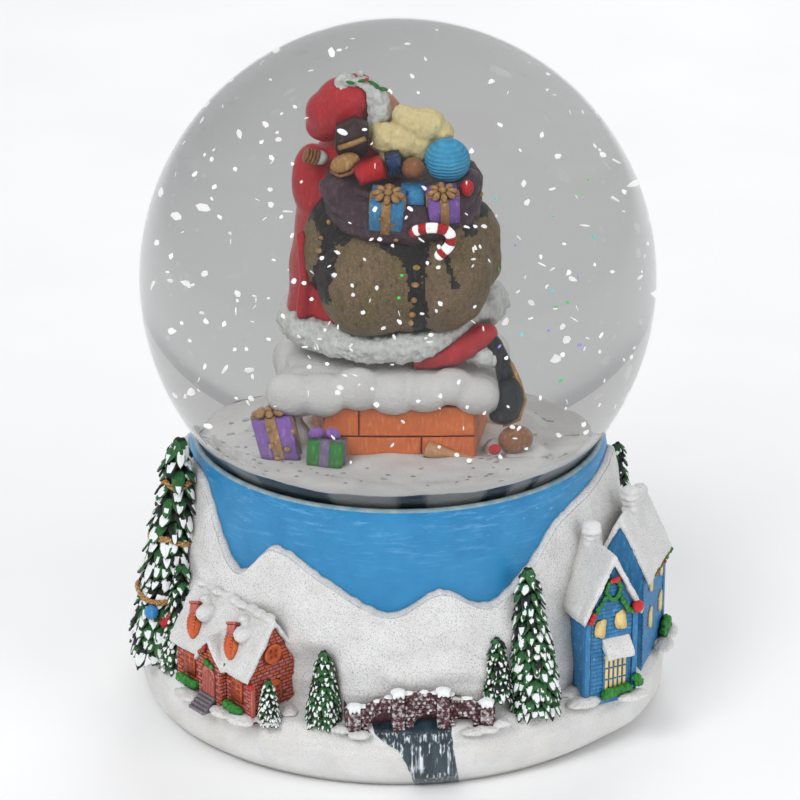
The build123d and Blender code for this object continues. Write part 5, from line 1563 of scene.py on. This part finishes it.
def makeHat():
    hat = Heap()
    for x, z, r in ((-6.9, 114.0, 3.9), (-8.6, 112.6, 4.5), (-10.2, 110.8, 4.3), (-11.2, 108.9, 3.2),
                    (-5.4, 112.9, 2.6)):
        addBlob(hat, (r, r, r), at(x, 0.4, z))
    sculpt("santa_hat", hat, [santaRed], ["hat"], 0.3, 8, [(3, 0.25)])
    fur = Heap()
    path = [(-8.6, -1.0, 117.3), (-6.2, -1.4, 117.8), (-4.2, -1.8, 117.0), (-3.2, -2.4, 114.6),
            (-2.7, -3.0, 112.0), (-2.9, -3.2, 109.4), (-3.0, 2.0, 106.6), (-5.0, 6.0, 109.4),
            (-6.6, 5.0, 113.6), (-8.6, -1.0, 117.3)]
    addTube(fur, path, lambda s: 0.9 + 0.95 * smoothStep(0.1, 0.35, s), 0, 12)
    addBlob(fur, (1.5, 1.6, 2.0), at(-1.4, -4.0, 108.6))
    addBlob(fur, (0.65, 0.6, 0.8), at(-6.2, -1.4, 119.7))
    sculpt("hat_fur_band", fur, [furWhite], ["hat_fur"], 0.26, 1, [(1.2, 0.36), (0.5, 0.22)])
    holly = Heap()
    for x, z, turn in ((-7.8, 118.6, 20), (-5.8, 118.9, -10), (-4.2, 118.4, 30), (-3.4, 117.6, 55),
                       (-2.3, 117.0, 20)):
        addBlob(holly, (0.8, 0.35, 0.36), at(x, -2.9, z, 0, turn), 0, 10, 6)
    addBlob(holly, (0.4, 0.4, 0.35), at(-5.1, -3.0, 119.2), 1, 12, 8)
    build("hat_holly", holly, [leafGreen, berryRed])


sack = {"middle": (0.9, -7.0, 88.6), "seam": 2.9, "dot": 0.45}


def makeSack():
    heap = Heap()
    cx, cy, cz = sack["middle"]
    addBlob(heap, (13.1, 9.4, 11.2), at(cx, cy, cz), 0, 40, 24)
    addBlob(heap, (8.6, 6.5, 8.8), at(-4.0, -10.4, 86.8, 0, -14), 0, 30, 18)
    addBlob(heap, (6.4, 6.6, 9.4), at(7.9, -10.4, 88.0, 0, 12), 0, 30, 18)
    addBlob(heap, (5.0, 5.0, 8.6), at(-9.4, -5.0, 91.2, 0, 8), 0, 24, 16)
    addBlob(heap, (4.6, 5.2, 8.0), at(11.0, -5.4, 91.0, 0, -6), 0, 24, 16)
    addBlob(heap, (11.2, 8.0, 5.0), at(0.8, -6.8, 97.4), 0, 30, 18)

    def tone(spot, normal):
        waver = 0.9 * ripple(spot, 2.2, 4.0) + 0.5 * ripple(spot, 0.8, 9.0)
        wide = 1.35 + 1.3 * smoothStep(88, 96, spot.z)
        seam = abs(spot.x - sack["seam"] + 0.10 * (spot.z - 88) + waver) < wide and spot.z < 97 and spot.y < 0
        upper = spot.z + waver * 1.4 > 96.2 - 2.6 * bell(spot.x, -10, 3.2) - 2.8 * bell(spot.x, 0, 4.6)
        left = abs(spot.x + 11.4 - 0.14 * (spot.z - 90) + waver) < 1.1 and spot.z > 84
        fold = abs(spot.x - 7.4 - 0.22 * (95 - spot.z) + waver) < 0.5 and spot.z > 88
        return 1 if seam or upper or left or fold else 0

    sculpt("toy_sack_body", heap, [sackOlive, seamBlack], ["toy_sack"], 0.34, 5,
           [(4.5, 0.5), (1.4, 0.16)], tone)
    dots = Heap()
    spots = [(-9.9, 99.6), (-10.6, 96.0), (-11.6, 93.4), (-12.0, 91.4), (-6.9, 97.8), (-3.9, 96.6),
             (-2.7, 96.8), (-0.3, 95.9), (2.9, 91.6), (2.7, 88.8), (2.5, 86.2), (2.2, 83.6), (2.0, 82.0),
             (9.9, 97.8), (11.8, 99.4), (12.9, 100.8)]
    for x, z in spots:
        y = sackFront(x, z)
        addBlob(dots, (sack["dot"] * rng.uniform(0.9, 1.4), sack["dot"], sack["dot"]), at(x, y, z), 0, 12, 8)
    build("sack_stitches", dots, [goldPaint])
    cuff = Heap()
    path = []
    for i in range(41):
        a = 2 * math.pi * i / 40
        path.append((0.8 + 11.0 * math.cos(a), -6.6 - 8.3 * math.sin(a), 99.4 - 1.3 * math.sin(a)))
    addTube(cuff, path, 1.5, 0, 10)
    addTube(cuff, [(x, y, z + 2.1) for x, y, z in path], 1.45, 0, 10)
    addTube(cuff, [(x * 0.97, y, z - 2.0) for x, y, z in path], 1.35, 0, 10)
    addStack(cuff, [(97, 0.8, -6.6, 11, 8.4), (102.6, 0.8, -6.2, 10.6, 7.6)])
    addBlob(cuff, (4.0, 3.0, 2.6), at(-8.6, -9.6, 101.6, 0, 20))
    addBlob(cuff, (3.4, 3.2, 3.0), at(10.0, -8.4, 101.8, 0, -20))
    addBlob(cuff, (5.6, 1.6, 2.2), at(1.6, -15.4, 97.6))
    sculpt("sack_cuff_band", cuff, [cuffBrown], ["sack_cuff"], 0.34, 5,
           [(3.0, 0.45), (1.0, 0.14)])


def sackFront(x, z):  # roughly where the sack's front surface lies
    cx, cy, cz = sack["middle"]
    across = max(0.04, 1 - ((x - cx) / 13.6) ** 2 - ((z - cz) / 13.5) ** 2)
    return cy - 10.6 * math.sqrt(across) + 0.2


def addGift(heap, size, place, tone, ribbon, bow=True):
    w, d, h = (s / 2 for s in size)
    addBox(heap, -w, w, -d, d, -h, h, place, tone, 0.3)
    t, wide = 0.22, 0.14 * size[0]
    addBox(heap, -wide, wide, -d - t, d + t, -h - t, h + t, place, ribbon, 0.1)
    addBox(heap, -w - t, w + t, -d * 0.24, d * 0.24, -h - t, h + t, place, ribbon, 0.1)
    if bow:
        for i in range(8):
            a = math.pi * 2 * i / 8
            spot = place @ at(0.30 * size[0] * math.cos(a), 0.26 * size[1] * math.sin(a), h + 0.6, 0, 0,
                              math.degrees(a))
            addBlob(heap, (0.20 * size[0], 0.11 * size[0], 0.6), spot, ribbon, 12, 8)
        addBlob(heap, (0.13 * size[0], 0.13 * size[0], 0.7), place @ at(0, 0, h + 1.0), ribbon, 12, 8)


def makeToys():
    gifts = Heap()
    addGift(gifts, (5.4, 4.6, 6.2), at(-1.7, -15.4, 100.9, 24, 4, -6), 0, 2)
    addGift(gifts, (5.0, 4.4, 5.0), at(7.1, -14.2, 101.2, 24, -3, 10), 1, 2)
    addBox(gifts, -1.8, 1.8, -1.8, 1.8, -3.4, 2.6, at(2.4, -13.2, 101.2, 14, 0, 4), 0, 0.3)
    addBox(gifts, -1.2, 1.2, -1.5, 1.5, -1.5, 1.5, at(-0.6, -9.0, 106.2, 10, -16, 0), 3, 0.2)
    addBox(gifts, -2.2, 2.2, -1.6, 1.6, -1.45, 1.45, at(-4.4, -11.6, 106.0, 10, -20, -4), 4, 0.5)
    addBlob(gifts, (1.1, 1.0, 1.5), at(10.9, -11.4, 102.9, 0, 12), 4)
    for x, z in ((-2.9, 100.4), (-0.9, 99.4), (-2.2, 98.7)):
        addBlob(gifts, (0.5, 0.25, 0.28), at(x, -18.3, z), 5, 12, 8)
    build("sack_gifts", gifts, [presentBlue, presentPurple, goldPaint, paneNavy, caneRed, bronzePaint],
          ["sack_presents"])
    balls = Heap()
    addBlob(balls, (3.65, 3.65, 3.65), at(7.8, -8.6, 106.6), 0, 48, 32)
    addBlob(balls, (1.85, 1.8, 1.8), at(2.4, -10.4, 105.9), 1, 24, 16)
    addBlob(balls, (2.5, 1.5, 1.7), at(-8.4, -9.4, 106.4, 0, -28), 2, 28, 18)
    addTube(balls, [(-10.7, -9.6, 105.2), (-9.2, -10.6, 104.6), (-7.4, -10.8, 105.3), (-6.2, -10.2, 106.9)],
            0.34, 1)
    build("sack_balls", balls, [knitPaint(), bronzePaint, goldPaint], ["toy_balls"])
    cane = Heap()
    line = roundedLine([(2.5, -17.6, 97.9), (3.4, -17.8, 98.5), (6.0, -17.9, 98.9), (8.4, -17.4, 97.9),
                        (8.5, -17.2, 95.6), (6.6, -17.2, 93.8)], 3)
    for k in range(len(line) - 1):
        addTube(cane, [line[k], line[k + 1]], 0.85, (k // 5) % 2, 14)
        addBlob(cane, (0.85, 0.85, 0.85), at(*line[k + 1]), (k // 5) % 2, 14, 10)
    build("candy_cane_curl", cane, [caneRed, whiteGlow], ["candy_cane"])
    plush = Heap()
    for x, z, r in ((0.8, 113.0, 1.9), (2.3, 111.6, 2.6), (4.6, 111.2, 3.0), (6.6, 109.9, 2.2),
                    (-2.4, 109.0, 2.6), (0.6, 108.6, 3.4), (3.8, 107.8, 3.0), (-0.6, 106.6, 2.4),
                    (7.4, 109.0, 1.4)):
        addBlob(plush, (r, r * 0.9, r), at(x, -5.4 + 0.1 * r, z), 0, 24, 16)
    sculpt("plush_bear", plush, [plushYellow], ["plush_toy"], 0.26, 3,
           [(1.2, 0.22), (0.5, 0.14)])
    toy = Heap()
    outline = [(-10.0, 108.6), (-9.2, 107.4), (-5.6, 107.2), (-4.8, 108.4), (-4.7, 112.4), (-6.9, 113.9),
               (-10.0, 112.2)]
    addPrism(toy, outline, -9.2, -6.4, None, 0)
    addTube(toy, [(-9.5, -9.4, 109.2), (-7.6, -9.7, 110.0), (-5.2, -9.5, 111.0)], 0.5, 1)
    addBlob(toy, (1.0, 0.4, 0.5), at(-9.0, -9.4, 112.2, 0, 30), 2, 12, 8)
    addBlob(toy, (0.45, 0.3, 0.25), at(-5.4, -9.4, 112.6), 2, 12, 8)
    build("train_toy", toy, [toyBrown, goldPaint, whiteGlow])
    glove = Heap()
    for k in range(4):
        addBlob(glove, (0.5, 1.3, 1.25), at(-14.3 + 0.55 * k, -4.6, 105.6 - 0.15 * k, 0, 18), 0, 12, 10)
    addBlob(glove, (1.2, 1.4, 1.1), at(-12.0, -4.2, 104.9), 1)
    build("santa_glove", glove, [bronzePaint, furWhite])


def knitPaint():
    p = Paint("ball_blue_knit", 0.6)
    wave = p.tree.nodes.new("ShaderNodeTexWave")
    wave.bands_direction = "Z"
    wave.inputs["Scale"].default_value = 500
    wave.inputs["Distortion"].default_value = 2.5
    p.link(p.place, wave.inputs["Vector"])
    rows = wave.outputs["Fac"]
    tone = p.mix(p.grain(1.2, 0.35, 0.7, 3), (0.045, 0.36, 0.64), (0.09, 0.44, 0.70))
    p.colour(p.mix(p.times(rows, 0.35), tone, (0.02, 0.19, 0.40)))
    p.bump(rows, 0.12)
    return p.material


def makeFloorGifts():
    heap = Heap()
    addGift(heap, (6.2, 5.2, 8.0), at(-18.2, -11.2, 61.6, 6, -13, -14), 0, 2)
    for x, z in ((-19.9, 63.8), (-17.0, 60.6), (-18.6, 58.8), (-16.2, 63.6), (-19.6, 61.0)):
        addBlob(heap, (0.55, 0.3, 0.45), at(x, -14.2, z), 2, 12, 8)
    addGift(heap, (5.6, 4.8, 5.0), at(-11.0, -15.2, 60.3, 6, 4, -12), 1, 3, False)
    for side in (-1, 1):
        addBlob(heap, (1.3, 0.7, 1.0), at(-11.3 + side * 1.3, -15.3, 63.7, 0, side * 24), 0, 16, 10)
    addBlob(heap, (2.7, 2.5, 2.3), at(17.6, -10.2, 61.4), 4, 28, 18)
    addBlob(heap, (1.0, 0.8, 0.9), at(14.6, -12.4, 60.4), 5, 14, 10)
    build("gifts_on_snow", heap, [presentPurple, presentGreen, goldPaint, ribbonGrey, bronzePaint, caneRed],
          ["floor_presents"])
    drift = Heap()
    for x, y, rx, ry, rz in ((18, -8, 5, 4, 2.6), (-16, -9, 6, 4.5, 3), (14.5, -7.8, 2.4, 2, 3.6),
                             (-13, 12, 6, 5, 3), (13, 13, 6, 5, 3)):
        addBlob(drift, (rx, ry, rz), at(x, y, globe["groundTop"] + 0.2))
    sculpt("mound_drifts", drift, [moundSnow], (), 0.4, 5, [(3, 0.3)])


capSnow = snowPaint("cap_snow", 0.03)
paneNavy = handPaint("box_navy", (0.02, 0.05, 0.14), (0.01, 0.02, 0.05), (0.10, 0.22, 0.42), 0.4)
makeChimney()
makeSanta()
makeHat()
makeSack()
makeToys()
makeFloorGifts()
print("figure built")

# ---- finishes on parts kept as they are ----
def rubberPaint():
    p = Paint("black_rubber", 0.65)
    p.colour(p.mix(p.grain(3, 0.3, 0.7), (0.018, 0.018, 0.019), (0.035, 0.034, 0.033)))
    p.bump(p.grain(0.5, 0.2, 0.8), 0.03)
    return p.material


def platePaint():
    p = Paint("plate_plastic", 0.45)
    p.colour(p.mix(p.grain(0.6, 0.35, 0.7, 3), (0.016, 0.016, 0.018), (0.030, 0.030, 0.033)))
    p.bump(p.grain(0.22, 0.2, 0.8, 2), 0.03)
    return p.material


def feltPaint():
    p = Paint("felt", 0.95)
    p.colour(p.mix(p.grain(0.35, 0.3, 0.7, 4, rough=0.7), (0.020, 0.045, 0.026), (0.055, 0.095, 0.06)))
    p.bump(p.grain(0.2, 0.2, 0.8, 4, rough=0.7), 0.12)
    return p.material


brightSteel = metalFinish("bright_steel", (0.62, 0.61, 0.59), 0.26, (1, 1, 0.1))
castZinc = metalFinish("cast_zinc", (0.42, 0.42, 0.43), 0.45)
turnedBrass = metalFinish("turned_brass", (0.72, 0.47, 0.19), 0.28, (0.1, 1, 1))
keyPlate = metalFinish("key_plate", (0.66, 0.64, 0.60), 0.22, (0.2, 1, 1))
combSteel = metalFinish("comb_steel", (0.50, 0.50, 0.52), 0.3, (1, 0.1, 1))
screwSteel = metalFinish("screw_steel", (0.50, 0.48, 0.46), 0.32)
springSteel = metalFinish("spring_blue", (0.16, 0.19, 0.27), 0.3, (1, 1, 0.2))
finishes = {"rubber_stopper": rubberPaint(), "bottom_plate": platePaint(), "felt_ring": feltPaint(),
            "plate_screws": screwSteel, "movement_screws": screwSteel, "comb_screws": screwSteel,
            "winding_key": keyPlate, "winding_arbor": brightSteel, "spring_barrel": turnedBrass,
            "mainspring": springSteel, "pinned_cylinder": turnedBrass, "governor_wheel": turnedBrass,
            "air_brake": brightSteel, "tune_comb": combSteel, "movement_frame": castZinc}
for nodeName, finish in finishes.items():
    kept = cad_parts[nodeName]
    kept.data.materials.clear()
    kept.data.materials.append(finish)
    kept.data.polygons.foreach_set("material_index", [0] * len(kept.data.polygons))
print("kept parts painted")


# ---- floor, lights and camera ----
studio = {"world": (0.80, 0.81, 0.83), "worldStrength": 0.75, "floor": (0.93, 0.93, 0.93), "keyPower": 5.2,
          "fillPower": 2.4, "backPower": 2.5,
          "behindWater": (0.44, 0.44, 0.435)}  # what the globe's water shows of the room


def areaLamp(name, spot, target, size, power):
    lamp = bpy.data.lights.new(name, "AREA")
    lamp.shape = "DISK"
    lamp.size = size
    lamp.energy = power
    holder = bpy.data.objects.new(name, lamp)
    holder.location = spot
    holder.rotation_euler = (Vector(target) - Vector(spot)).to_track_quat("-Z", "Y").to_euler()
    bpy.context.scene.collection.objects.link(holder)
    holder.visible_glossy = False
    holder.visible_transmission = False


def makeStudio():
    scene = bpy.context.scene
    scene.view_settings.view_transform = "Standard"
    world = bpy.data.worlds.new("studio")
    world.use_nodes = True
    tree = world.node_tree
    path = tree.nodes.new("ShaderNodeLightPath")
    blend = tree.nodes.new("ShaderNodeMix")
    blend.data_type = "RGBA"
    blend.inputs[6].default_value = (*studio["world"], 1)
    # for rays through the water the world shows the darker grey, a dimmer room
    blend.inputs[7].default_value = (*[c / studio["worldStrength"] for c in studio["behindWater"]], 1)
    tree.links.new(path.outputs["Is Transmission Ray"], blend.inputs[0])
    tree.links.new(blend.outputs[2], tree.nodes["Background"].inputs[0])
    tree.nodes["Background"].inputs[1].default_value = studio["worldStrength"]
    scene.world = world
    mesh = bpy.data.meshes.new("table_top")
    mesh.from_pydata([(-6, -3, 0), (6, -3, 0), (6, 9, 0), (-6, 9, 0)], [], [(0, 1, 2, 3)])
    floor = bpy.data.objects.new("table_top", mesh)
    scene.collection.objects.link(floor)
    finish = Paint("table_white", 0.7)
    tone = finish.mix(finish.grain(60, 0.3, 0.7), studio["floor"], (0.90, 0.90, 0.90))
    # for rays through the water the floor turns grey: painted shade of a dimmer room
    ray = finish.tree.nodes.new("ShaderNodeLightPath").outputs["Is Transmission Ray"]
    finish.colour(finish.mix(ray, tone, studio["behindWater"]))
    mesh.materials.append(finish.material)
    areaLamp("key", (-0.45, -0.65, 0.75), (0, 0, 0.06), 0.5, studio["keyPower"])
    areaLamp("fill", (0.7, -0.6, 0.45), (0, 0, 0.06), 0.6, studio["fillPower"])
    areaLamp("back", (0.15, 0.75, 0.7), (0, 0, 0.08), 0.6, studio["backPower"])


def makeCamera():
    lens = bpy.data.cameras.new("view")
    lens.lens = 163.9
    lens.sensor_width = 36
    lens.shift_x = 0.0025
    lens.clip_start = 0.02
    camera = bpy.data.objects.new("view", lens)
    camera.location = (0, -0.6544, 0.3321)
    camera.rotation_euler = (math.radians(67.27), 0, 0)
    bpy.context.scene.collection.objects.link(camera)
    bpy.context.scene.camera = camera


makeStudio()
makeCamera()
print("studio and camera set")
